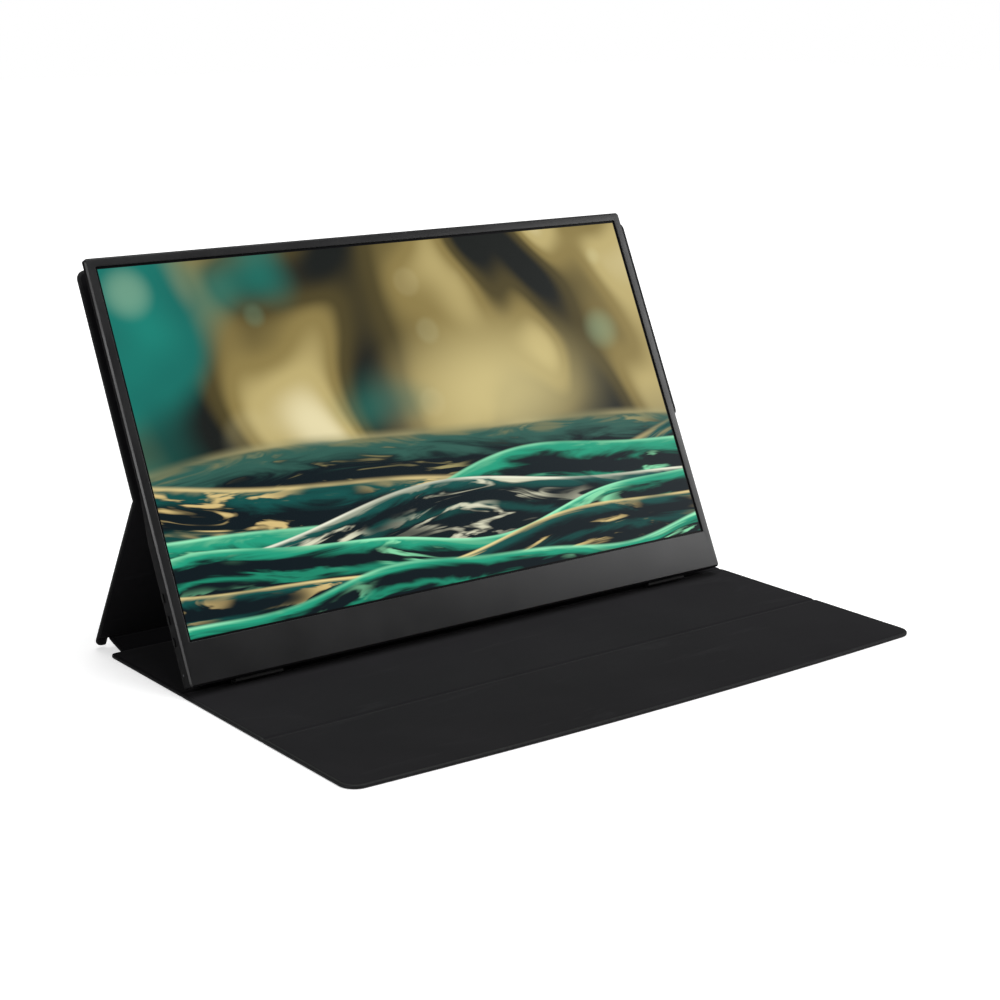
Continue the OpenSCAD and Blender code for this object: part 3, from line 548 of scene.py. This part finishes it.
GUIDE = clear_plastic("light_guide", (0.88, 0.93, 0.95), 0.1, 0.8)
LIGHT_BAR = clear_plastic("light_bar", (0.90, 0.86, 0.70), 0.3, 0.0)
LENS = clear_plastic("status_lens", (0.055, 0.06, 0.065), 0.25, 0.0)

CAD_FINISHES = {
    HOUSING: ("front_bezel",),
    SHELL: ("rear_housing",),
    BUTTON: ("lower_button", "middle_button", "upper_button"),
    GLASS: ("display_glass",),
    GUIDE: ("light_guide",),
    LIGHT_BAR: ("light_bar",),
    SHEET_METAL: ("display_tray",),
    BOARD_GREEN: ("display_board", "main_board", "button_board"),
    FLAT_CABLE: ("display_cable",),
    PLATED: ("board_screws", "steel_strips", "lower_data_socket", "upper_data_socket",
             "video_socket"),
    JACK: ("headphone_socket",),
    LENS: ("status_light",),
    SPEAKER: ("left_speaker", "right_speaker"),
    FOOT_RUBBER: ("left_foot", "right_foot"),
    SKIN: ("back_panel_skin", "leg_skin", "base_skin", "flap_skin"),
    LINING: ("back_panel_lining", "leg_lining", "base_lining", "flap_lining"),
    FIBRE_BOARD: ("back_panel_board", "leg_board", "spine_board", "rear_strip_board",
                  "middle_strip_board", "flap_board"),
    NICKEL: ("back_panel_magnets", "flap_magnets"),
}
for material, names in CAD_FINISHES.items():
    for name in names:
        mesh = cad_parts[name].data
        mesh.materials.clear()
        mesh.materials.append(material)


# -------------------- meshes

@contextmanager
def reshaping(mesh):
    """Opens a mesh for changes, and writes them back into it."""
    work = bmesh.new()
    work.from_mesh(mesh)
    yield work
    work.to_mesh(mesh)
    work.free()


def bare_copy(node, name):
    """A copy of a solid's mesh, without its material and the shading that it came with."""
    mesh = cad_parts[node].data.copy()
    mesh.name = name
    mesh.materials.clear()
    if "custom_normal" in mesh.attributes:
        mesh.attributes.remove(mesh.attributes["custom_normal"])
    return mesh


def mesh_of(name, points, faces):
    """A new closed mesh whose faces look outwards."""
    mesh = bpy.data.meshes.new(name)
    mesh.from_pydata(points, [], faces)
    with reshaping(mesh) as work:
        bmesh.ops.recalc_face_normals(work, faces=work.faces)
    return mesh


def new_piece(name, mesh, *materials, smooth=True):
    for material in materials:
        mesh.materials.append(material)
    if smooth:
        for face in mesh.polygons:
            face.use_smooth = True
    piece = bpy.data.objects.new(name, mesh)
    bpy.context.collection.objects.link(piece)
    return piece


def ring(x0, x1, v0, v1, radius, depth):
    """A rounded rectangle on the leaning monitor, counter-clockwise from its lower right corner."""
    steps = 8
    points = []
    for cx, cv, start in ((x1 - radius, v0 + radius, -90), (x1 - radius, v1 - radius, 0),
                          (x0 + radius, v1 - radius, 90), (x0 + radius, v0 + radius, 180)):
        for i in range(steps + 1):
            turn = math.radians(start + 90 * i / steps)
            points.append(on_screen(cx + radius * math.cos(turn), depth,
                                    cv + radius * math.sin(turn)))
    return points


def bridge_rings(name, rings, *materials):
    """One closed skin over a row of rings that have the same number of points."""
    count = len(rings[0])
    faces = []
    for i in range(len(rings)):
        a, b = i * count, (i + 1) % len(rings) * count
        for j in range(count):
            k = (j + 1) % count
            faces.append((a + j, a + k, b + k, b + j))
    return new_piece(name, mesh_of(name, [p for r in rings for p in r], faces), *materials)


def sharpen(piece, angle):
    """Keeps edges sharper than angle crisp while the rest is shaded smooth."""
    with reshaping(piece.data) as work:
        for edge in work.edges:
            if len(edge.link_faces) != 2 or edge.calc_face_angle(0) > math.radians(angle):
                edge.smooth = False


def bezel_frame():
    """The moulded frame: a crisp bevel round the front, a softened edge at the picture and a fine
    parting line where it meets the back housing."""
    rings = []
    for inset, depth in ((0.12, BEZEL_T), (0.05, BEZEL_T - 0.03), (0.0, BEZEL_T - 0.12),
                         (0.0, 1.05), (0.02, 0.95), (0.07, 0.87), (0.82, 0.12), (0.90, 0.05),
                         (1.00, 0.01), (1.15, 0.0)):
        rings.append(ring(-SIDE_X + inset, SIDE_X - inset, inset, HOUSING_H - inset,
                          max(2.0 - inset, 0.9), depth))
    half = PICTURE_W / 2 + PICTURE_BORDER
    low, high = BOTTOM_BEZEL - PICTURE_BORDER, BOTTOM_BEZEL + PICTURE_H + PICTURE_BORDER
    for out, depth in ((0.40, 0.0), (0.22, 0.012), (0.10, 0.05), (0.02, 0.14), (0.0, 0.25),
                       (0.0, BEZEL_LIP)):
        rings.append(ring(-half - out, half + out, low - out, high + out, 0.6 + out, depth))
    for depth in (BEZEL_LIP, BEZEL_T):
        rings.append(ring(-MODULE_HALF, MODULE_HALF, MODULE_V0, MODULE_V1, 0.6, depth))
    piece = bridge_rings("bezel_frame", rings, HOUSING, SHELL)
    matt_rings = 4                      # the side of the frame has the back housing's finish
    for face in piece.data.polygons[:matt_rings * len(rings[0])]:
        face.material_index = 1
    sharpen(piece, 12)
    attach(piece, "monitor")
    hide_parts("front_bezel")


def rear_shell():
    """The back housing, pared away behind its upper edges to a thin rim. The body thickens again
    towards the sockets and the buttons."""
    rim_t, slope_w = 3.5, 11.0
    rise = 0.227                        # depth that each side gains per millimetre further down
    slope = (MONITOR_T - rim_t) / slope_w
    thin_v = {-1: 100.5, 1: 112.5}      # the rim is thin above this; the sockets need more room
    mesh = bare_copy("rear_housing", "rear_shell")
    to_face = (Matrix.Scale(MM, 4) @ ON_SCREEN).inverted()
    cuts = [((0, 0, HOUSING_H - slope_w), (0, 0, 1))]
    for side in (-1, 1):
        low = thin_v[side] - (MONITOR_T - rim_t) / rise
        cuts += [((side * (SIDE_X - slope_w), 0, 0), (1, 0, 0)), ((0, 0, thin_v[side]), (0, 0, 1)),
                 ((side * SIDE_X, 0, low), (side * (thin_v[side] - low), 0, slope_w)),
                 ((side * SIDE_X, 0, HOUSING_H), (side, 0, -1))]
    with reshaping(mesh) as work:
        work.transform(to_face)
        bmesh.ops.remove_doubles(work, verts=work.verts, dist=1e-3)
        bmesh.ops.dissolve_limit(work, angle_limit=math.radians(0.5), verts=work.verts,
                                 edges=work.edges)
        for place, normal in cuts:
            bmesh.ops.bisect_plane(work, geom=work.verts[:] + work.edges[:] + work.faces[:],
                                   dist=1e-4, plane_co=place, plane_no=Vector(normal).normalized())
        for vert in work.verts:
            x, d, v = vert.co
            if d > BEZEL_T:
                below = max(0.0, thin_v[1 if x > 0 else -1] - v)
                side = rim_t + slope * (SIDE_X - abs(x)) + rise * below
                top = rim_t + slope * (HOUSING_H - v)
                deep = min(MONITOR_T, side, top)
                vert.co.y = BEZEL_T + (d - BEZEL_T) * (deep - BEZEL_T) / (MONITOR_T - BEZEL_T)
        bmesh.ops.triangulate(work, faces=[f for f in work.faces if len(f.verts) > 4])
        work.transform(to_face.inverted())
    piece = new_piece("rear_shell", mesh, SHELL)
    sharpen(piece, 24)
    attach(piece, "monitor")
    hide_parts("rear_housing")


def softened(node, body, material, width):
    """The solid of a small part with its edges rounded a little, as moulding leaves them."""
    mesh = bare_copy(node, node + "_soft")
    flat, crisp = math.radians(1), math.radians(35)
    with reshaping(mesh) as work:
        bmesh.ops.remove_doubles(work, verts=work.verts, dist=1e-6)
        bmesh.ops.dissolve_limit(work, angle_limit=flat, verts=work.verts, edges=work.edges)
        sharp = [e for e in work.edges if len(e.link_faces) == 2 and e.calc_face_angle(0) > crisp]
        bmesh.ops.bevel(work, geom=sharp, offset=width * MM, segments=3, affect="EDGES",
                        clamp_overlap=True)
    piece = new_piece(node + "_moulded", mesh, material)
    sharpen(piece, 40)
    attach(piece, body)
    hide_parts(node)


def contact_rows(name, height, length, count, reach):
    """Rows of gilt contacts on both faces of a socket's tongue."""
    tongue_in, off_middle, thickness, rounding = 1.25, 0.36, 0.05, 0.012
    mesh = bpy.data.meshes.new(name)
    pitch = length / count
    with reshaping(mesh) as work:
        for side in (-1, 1):
            for i in range(count):
                v = height + (i - (count - 1) / 2) * pitch
                for vert in bmesh.ops.create_cube(work, size=1.0)["verts"]:
                    x = MOUTH_X - tongue_in - reach / 2 + vert.co.x * reach
                    d = SOCKET_D + side * off_middle + vert.co.y * thickness
                    vert.co = on_screen(x, d, v + vert.co.z * pitch * 0.5)
        bmesh.ops.bevel(work, geom=work.edges[:], offset=rounding * MM, segments=1,
                        affect="EDGES")
    piece = new_piece(name, mesh, GOLD, smooth=False)
    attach(piece, "monitor")


# -------------------- the cover's laminate

SEAM_NEAR = 1e-3            # the outlines' points are kept in single precision


def direction(angle):
    return Vector((math.cos(angle), math.sin(angle)))


def arc_points(cx, cy, radius, start, end, steps):
    """Points of an arc, from one angle to another in degrees."""
    turns = [math.radians(start + (end - start) * i / steps) for i in range(steps + 1)]
    return [(cx + radius * math.cos(turn), cy + radius * math.sin(turn)) for turn in turns]


def mirrored(points):
    return [(-x, s) for x, s in reversed(points)]


def drawn_in(loop, by):
    """A closed outline moved inwards, at even distance from every side."""
    out = []
    for i, here in enumerate(loop):
        a, b, c = Vector(loop[i - 1]), Vector(here), Vector(loop[(i + 1) % len(loop)])
        e1, e2 = (b - a).normalized(), (c - b).normalized()
        n1, n2 = Vector((-e1.y, e1.x)), Vector((-e2.y, e2.x))
        out.append(b + (n1 + n2) * (by / (1 + max(n1.dot(n2), -0.3))))
    return out


def inside_of(points, loop):
    """Which points lie inside a closed outline."""
    inside = np.zeros(len(points), bool)
    for i in range(len(loop)):
        (x0, y0), (x1, y1) = loop[i - 1], loop[i]
        crosses = (y0 > points[:, 1]) != (y1 > points[:, 1])
        with np.errstate(divide="ignore", invalid="ignore"):
            at = (x1 - x0) * (points[:, 1] - y0) / (y1 - y0) + x0
        inside ^= crosses & (points[:, 0] < at)
    return inside


def distance_to(points, loop, seams):
    """Distance of flat points from the outline's sides, apart from those that lie on a seam."""
    points = np.array(points, float)
    best = np.full(len(points), 1e9)
    for i in range(len(loop)):
        a, b = np.array(loop[i - 1], float), np.array(loop[i], float)
        if any(abs(a[1] - s) < SEAM_NEAR and abs(b[1] - s) < SEAM_NEAR for s in seams):
            continue
        d = b - a
        t = np.clip(((points - a) @ d) / max(d @ d, 1e-12), 0, 1)
        best = np.minimum(best, np.linalg.norm(points - a - t[:, None] * d, axis=1))
    return best


class Path:
    """The run of the laminate seen from the side: pairs of points on its skin and its lining, over
    the length along its middle."""

    def __init__(self):
        self.s, self.skin, self.lining, self.hinges = [], [], [], []

    def add(self, skin, lining):
        skin, lining = Vector(skin), Vector(lining)
        here = 0.0
        if self.s:
            before = (self.skin[-1] + self.lining[-1]) / 2
            here = self.s[-1] + ((skin + lining) / 2 - before).length
        self.s.append(here)
        self.skin.append(skin)
        self.lining.append(lining)
        return here

    def fan(self, pivot, on_skin, start, end, steps):
        """A fold: one face turns about the pivot while the other sweeps round it."""
        along = []
        for i in range(steps + 1):
            far = Vector(pivot) + COVER_T * direction(start + (end - start) * i / steps)
            along.append(self.add(pivot, far) if on_skin else self.add(far, pivot))
        self.hinges.append((along[0], along[-1], on_skin))

    def at(self, s, level):
        """The point at length s and level, from -1 on the skin to 1 on the lining."""
        i = min(max(int(np.searchsorted(self.s, s, side="right")) - 1, 0), len(self.s) - 2)
        span = self.s[i + 1] - self.s[i]
        t = (s - self.s[i]) / span if span > 1e-9 else 0.0
        skin = self.skin[i].lerp(self.skin[i + 1], t)
        lining = self.lining[i].lerp(self.lining[i + 1], t)
        middle = (skin + lining) / 2
        return middle + (lining - middle) * level

    def thinning(self, s):
        """How far the lining and the skin are pressed in near a fold or crease."""
        reach, deep, shallow_lining, shallow_skin = 0.9, 0.42, 0.22, 0.16
        lining = skin = 0.0
        for a, b, on_skin in self.hinges:
            press = math.exp(-(max(a - s, s - b, 0.0) / reach) ** 2)
            lining = max(lining, press * (shallow_lining if on_skin else deep))
            skin = max(skin, press * (deep if on_skin else shallow_skin))
        return lining, skin


def run_to_seams(moved, loop, seams):
    """Puts the points of a moved outline back on the seams, where the layer runs through."""
    for i, (_, s) in enumerate(loop):
        for seam in seams:
            if abs(s - seam) < SEAM_NEAR:
                moved[i] = Vector((moved[i].x, seam))
    return moved


def cut_loops(outline, seams, layer):
    """The layer's own outline, and lines inside it that its rounded rim follows."""
    if layer == "skin":
        loop, insets = outline, (0.05, 0.16, 0.34, 0.60, RIM - 0.12, RIM, RIM + 0.04)
    else:
        loop = run_to_seams(drawn_in(outline, RIM + 0.06), outline, seams)
        insets = (0.04, 0.12, 0.30)
    inner = [run_to_seams(drawn_in(loop, inset), loop, seams) for inset in insets]
    return [[Vector(p) for p in loop]] + inner


def flat_sheet(loops, outline, path):
    """Points and triangles of the flat cut, with a row of points wherever the path bends."""
    points, edges = [], []
    for loop in loops:
        first = len(points)
        points += loop
        edges += [(first + i, first + (i + 1) % len(loop)) for i in range(len(loop))]
    rows = set(path.s)
    for a, b, _ in path.hinges:
        rows |= {s for off in (0.3, 0.6, 1.0, 1.5, 2.2, 3.0) for s in (a - off, b + off)}
    row_gap, wide = 0.02, COVER_HALF + 5
    low, high = min(s for _, s in outline) + row_gap, max(s for _, s in outline) - row_gap
    for s in sorted(s for s in rows if low < s < high):
        edges.append((len(points), len(points) + 1))
        points += [Vector((-wide, s)), Vector((wide, s))]
    flat, _, triangles, _, _, _ = delaunay_2d_cdt(points, edges, [], 0, 1e-5)

    centres = np.array([sum((flat[i] for i in t), Vector((0, 0))) / 3 for t in triangles])
    inside = inside_of(centres, loops[0])
    triangles = [t for t, keep in zip(triangles, inside) if keep]
    used = sorted({i for t in triangles for i in t})
    number = {old: new for new, old in enumerate(used)}
    return [flat[i] for i in used], [tuple(number[i] for i in t) for t in triangles]


def rounded(near, radius):
    """How far a rounded edge has risen, from 0 to 1, at a distance in from its side."""
    return math.sqrt(max(0.0, 1 - (1 - min(near / radius, 1.0)) ** 2))


def layer_levels(layer, near, press_lining, press_skin):
    """The layer's two faces, from -1 on the cover's skin to 1 on its lining."""
    if layer == "skin":
        risen = rounded(near, 0.6)
        high = (1 - press_lining) * risen
        if near > RIM + 0.02:           # inside its turned rim the skin is thin
            high = min(1 - press_lining - 0.3, -1 + 2 * SKIN_T / COVER_T)
        return high, -(1 - press_skin) * risen
    sunk = 0.10 * (1 - rounded(near, 0.3))
    high = 1 - press_lining - sunk
    return high, high - 2 * LINING_T / COVER_T + sunk


def closed_faces(triangles, top, bottom):
    """The triangles on both faces of a layer, and walls along its open sides."""
    faces, sides = [], {}
    for t in triangles:
        faces.append(tuple(top[i] for i in t))
        faces.append(tuple(bottom[i] for i in reversed(t)))
        for i in range(3):
            a, b = t[i], t[(i + 1) % 3]
            key = (min(a, b), max(a, b))
            sides[key] = None if key in sides else (a, b)
    for a, b in (pair for pair in sides.values() if pair):
        wall = tuple(dict.fromkeys((top[b], top[a], bottom[a], bottom[b])))
        if len(wall) > 2:
            faces.append(wall)
    return faces


def laminate(name, outline, seams, path, layer):
    """One layer of the laminate, cut to a flat outline of (x, s) and folded along the path."""
    loops = cut_loops(outline, seams, layer)
    flat, triangles = flat_sheet(loops, outline, path)
    verts, top, bottom = [], [], []
    for (x, s), near in zip(flat, distance_to(flat, loops[0], seams)):
        levels = layer_levels(layer, near, *path.thinning(s))
        if layer == "skin" and near < 1e-4:
            levels = levels[:1]         # both faces meet in the edge
        top.append(len(verts))
        bottom.append(len(verts) + len(levels) - 1)
        for level in levels:
            y, z = path.at(s, level)
            across = x * (1 + SPREAD / COVER_HALF) + COVER_SHIFT + SPREAD
            verts.append(Vector((across, y, z)) * MM)
    mesh = mesh_of(name, verts, closed_faces(triangles, top, bottom))
    piece = new_piece(name, mesh, SKIN if layer == "skin" else LINING)
    sharpen(piece, 35)
    return piece


def table_panels():
    """The two strips on the table, the spine and the leg's lower edge, in one sheet that lies on
    the base and folds up at the leg's foot into the leg."""
    path = Path()
    y0 = FLAP_Y + HINGE_SEAM
    crease_y = REAR_Y - STRIP_L
    for y in (y0, crease_y - CREASE_HALF, crease_y + CREASE_HALF):
        path.add((y, 0), (y, COVER_T))
    path.hinges.append((crease_y - y0 - CREASE_HALF, crease_y - y0 + CREASE_HALF, False))
    rear = path.add((REAR_Y - 0.001, 0), (REAR_Y - 0.001, COVER_T))
    low, high = -math.pi / 2, SPINE_TURN - math.pi / 2
    path.fan((REAR_Y, COVER_T), False, low, high, 4)
    path.fan(FOOT, False, high, LEG_TURN, 14)
    bottom_edge = path.s[-1] - 0.4
    seam = path.add(FOOT + COVER_T * LEG_OUT + SEAM_UP_LEG * LEG_UP, FOOT + SEAM_UP_LEG * LEG_UP)
    half, notch, notch_r, r = COVER_HALF, SPINE_HALF + 0.8, 0.8, FOOT_CORNER_R
    right = ([(half, 0.0)] + arc_points(half - r, rear - r, r, 0, 90, 8)
             + arc_points(notch, rear + notch_r, notch_r, 270, 180, 3)
             + arc_points(notch, bottom_edge - notch_r, notch_r, 180, 90, 3)
             + [(half, bottom_edge), (half, seam)])
    outline = right + mirrored(right)
    for layer, node in (("skin", "base_skin"), ("lining", "base_lining")):
        piece = laminate("table_" + layer, outline, (0.0, seam), path, layer)
        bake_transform(piece)
        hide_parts(node)


def leg_tabs():
    """The leg's lower corners, which run straight on past the fold, beside the narrower spine."""
    path = Path()
    for along in (-TAB_L, 0.0):
        path.add(FOOT + COVER_T * LEG_OUT + along * LEG_UP, FOOT + along * LEG_UP)
    inner, inner_r, r = SPINE_HALF + 1.0, 1.2, FOOT_CORNER_R
    outline = (arc_points(inner + inner_r, inner_r, inner_r, 180, 270, 4)
               + arc_points(COVER_HALF - r, r, r, 270, 360, 8)
               + [(COVER_HALF, TAB_L), (inner, TAB_L)])
    for turned, name in ((outline, "right"), (mirrored(outline), "left")):
        for layer in ("skin", "lining"):
            piece = laminate("leg_tab_%s_%s" % (layer, name), turned, (TAB_L,), path, layer)
            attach(piece, "leg")


def prop_panels():
    """The leg and the back panel, and the fold between them."""
    path = Path()
    path.add(FOOT + COVER_T * LEG_OUT + SEAM_UP_LEG * LEG_UP, FOOT + SEAM_UP_LEG * LEG_UP)
    inward = Vector((-cos_lean, sin_lean))
    up = Vector((sin_lean, cos_lean))
    low, high = LEG_TURN + math.pi, math.pi - LEAN
    path.fan(FOLD, True, low, high, 10)
    top = path.add(FOLD + PANEL_H * up, FOLD + COVER_T * inward + PANEL_H * up)
    half, r = COVER_HALF, PANEL_CORNER_R
    right = [(half, 0.0)] + arc_points(half - r, top - r, r, 0, 90, 8)
    outline = right + mirrored(right)
    for layer, nodes in (("skin", ("leg_skin", "back_panel_skin")),
                         ("lining", ("leg_lining", "back_panel_lining"))):
        piece = laminate("prop_" + layer, outline, (0.0,), path, layer)
        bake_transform(piece)
        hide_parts(*nodes)


def flap_panel():
    """The front flap, with its slightly bowed front edge."""
    path = Path()
    y0 = FLAP_Y + HINGE_SEAM
    path.add((y0, 0), (y0, COVER_T))
    for i in range(9):
        y = FLAP_Y + BEND_HALF - 0.3 * i
        path.add((y, 0), (y, COVER_T))
    path.hinges.append((HINGE_SEAM - CREASE_HALF, HINGE_SEAM + CREASE_HALF, False))
    far = HINGE_SEAM + FLAP_L + FRONT_BOW
    path.add((y0 - far, 0), (y0 - far, COVER_T))
    half, r, bow = COVER_HALF, FRONT_CORNER_R, FRONT_BOW
    length = HINGE_SEAM + FLAP_L
    big = (half * half + bow * bow) / (2 * bow)
    big_s = length + bow - big
    corner_x = half - r
    corner_s = big_s + math.sqrt((big - r) ** 2 - corner_x ** 2)
    turn = math.degrees(math.atan2(corner_s - big_s, corner_x))
    right = ([(half, 0.0)] + arc_points(corner_x, corner_s, r, 0, turn, 10)
             + arc_points(0, big_s, big, turn, 90, 16)[1:])
    outline = right + mirrored(right[:-1])
    for layer, node in (("skin", "flap_skin"), ("lining", "flap_lining")):
        piece = laminate("flap_" + layer + "_sheet", outline, (0.0,), path, layer)
        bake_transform(piece)
        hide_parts(node)


bezel_frame()
rear_shell()
for key in ("lower", "middle", "upper"):
    softened(key + "_button", key + "_button", BUTTON, 0.3)
for side in ("left", "right"):
    softened(side + "_foot", "monitor", FOOT_RUBBER, 0.35)
contact_rows("lower_data_contacts", 45.0, 6.0, 12, 3.2)
contact_rows("upper_data_contacts", 60.0, 6.0, 12, 3.2)
contact_rows("video_contacts", 78.0, 7.6, 10, 3.4)
table_panels()
leg_tabs()
prop_panels()
flap_panel()


# -------------------- floor, light and camera

FLOOR_LIFT = 0.56           # keeps the pale floor white to the camera, apart from the shadow


def seen_directly(w):
    """1 for what the camera sees, also through glass, and 0 for light that falls on the object."""
    rays = w.node("ShaderNodeLightPath").outputs
    return w.math("ADD", rays["Is Camera Ray"], rays["Is Transmission Ray"], clamp=True)


def floor():
    mesh = bpy.data.meshes.new("floor")
    side, under = 6.0, -0.0001
    corners = [(-side, -side, under), (side, -side, under), (side, side, under),
               (-side, side, under)]
    mesh.from_pydata(corners, [], [(0, 1, 2, 3)])
    material = bpy.data.materials.new("floor_paper")
    w = empty_wiring(material)
    seen = seen_directly(w)
    away = w.node("ShaderNodeVectorMath", {"operation": "LENGTH"})
    w.set(away.inputs[0], w.object_place())
    grain = w.noise(w.object_place(), 900.0, 2.0)
    paper = w.node("ShaderNodeBsdfDiffuse",
                   Color=w.mix(grain, (0.79, 0.79, 0.79), (0.81, 0.81, 0.81)))
    white = w.ease(away.outputs["Value"], 0.45, 1.3, FLOOR_LIFT, 1.1)
    lift = w.node("ShaderNodeEmission", Color=(1, 1, 1, 1),
                  Strength=w.math("MULTIPLY", seen, white))
    both = w.node("ShaderNodeAddShader")
    w.set(both.inputs[0], paper.outputs[0])
    w.set(both.inputs[1], lift.outputs[0])
    w.surface("ShaderNodeOutputMaterial", both)
    new_piece("floor", mesh, material, smooth=False)


def world_light():
    world = bpy.data.worlds.new("studio")
    bpy.context.scene.world = world
    w = empty_wiring(world)
    seen = seen_directly(w)
    # the room round the set is dim on the left and behind, and paler to the right
    side, back, height = w.split(w.node("ShaderNodeTexCoord").outputs["Generated"])[:3]
    toward = w.math("MULTIPLY_ADD", back, -0.3, side)
    room = w.math("MULTIPLY", w.ease(toward, -0.6, 1.1, 0.05, 0.14),
                  w.ease(height, -0.2, 0.9, 0.85, 1.3))
    shade = w.node("ShaderNodeBackground", Color=(1, 1, 1, 1), Strength=room)
    white = w.node("ShaderNodeBackground", Color=(1, 1, 1, 1), Strength=1.0)
    mixed = w.node("ShaderNodeMixShader", Fac=seen)
    w.set(mixed.inputs[1], shade.outputs[0])
    w.set(mixed.inputs[2], white.outputs[0])
    w.surface("ShaderNodeOutputWorld", mixed)


def softbox(name, place, aim, width, height, power):
    lamp = bpy.data.lights.new(name, "AREA")
    lamp.shape = "RECTANGLE"
    lamp.size, lamp.size_y = width, height
    lamp.energy = power
    holder = bpy.data.objects.new(name, lamp)
    bpy.context.collection.objects.link(holder)
    holder.location = place
    holder.rotation_euler = (Vector(aim) - Vector(place)).to_track_quat("-Z", "Y").to_euler()
    holder.visible_camera = False


def camera():
    lens = bpy.data.cameras.new("camera")
    lens.sensor_width = 36
    lens.lens = 72.086
    lens.shift_x, lens.shift_y = 0.0403, -0.0233    # the photograph is cropped off its middle
    holder = bpy.data.objects.new("camera", lens)
    bpy.context.collection.objects.link(holder)
    right = Vector((0.800700, -0.599064, 0.001803))
    down = Vector((-0.142086, -0.192829, -0.970886))
    ahead = Vector((0.581979, 0.777131, -0.239514))
    turn = Matrix((right, -down, -ahead)).transposed().to_4x4()
    holder.matrix_world = Matrix.Translation((-0.629336, -0.820815, 0.342916)) @ turn
    bpy.context.scene.camera = holder


floor()
world_light()
softbox("key", (1.06, -0.58, 0.58), (0.0, 0.0, 0.10), 0.50, 0.50, 4.2)
softbox("top", (0.2, -0.12, 1.7), (0.0, -0.05, 0.0), 1.6, 1.2, 25)
softbox("rim", (-1.14, -0.31, 0.48), (-0.17, 0.05, 0.10), 0.24, 0.60, 3.8)
camera()
bpy.context.scene.view_settings.view_transform = "Standard"
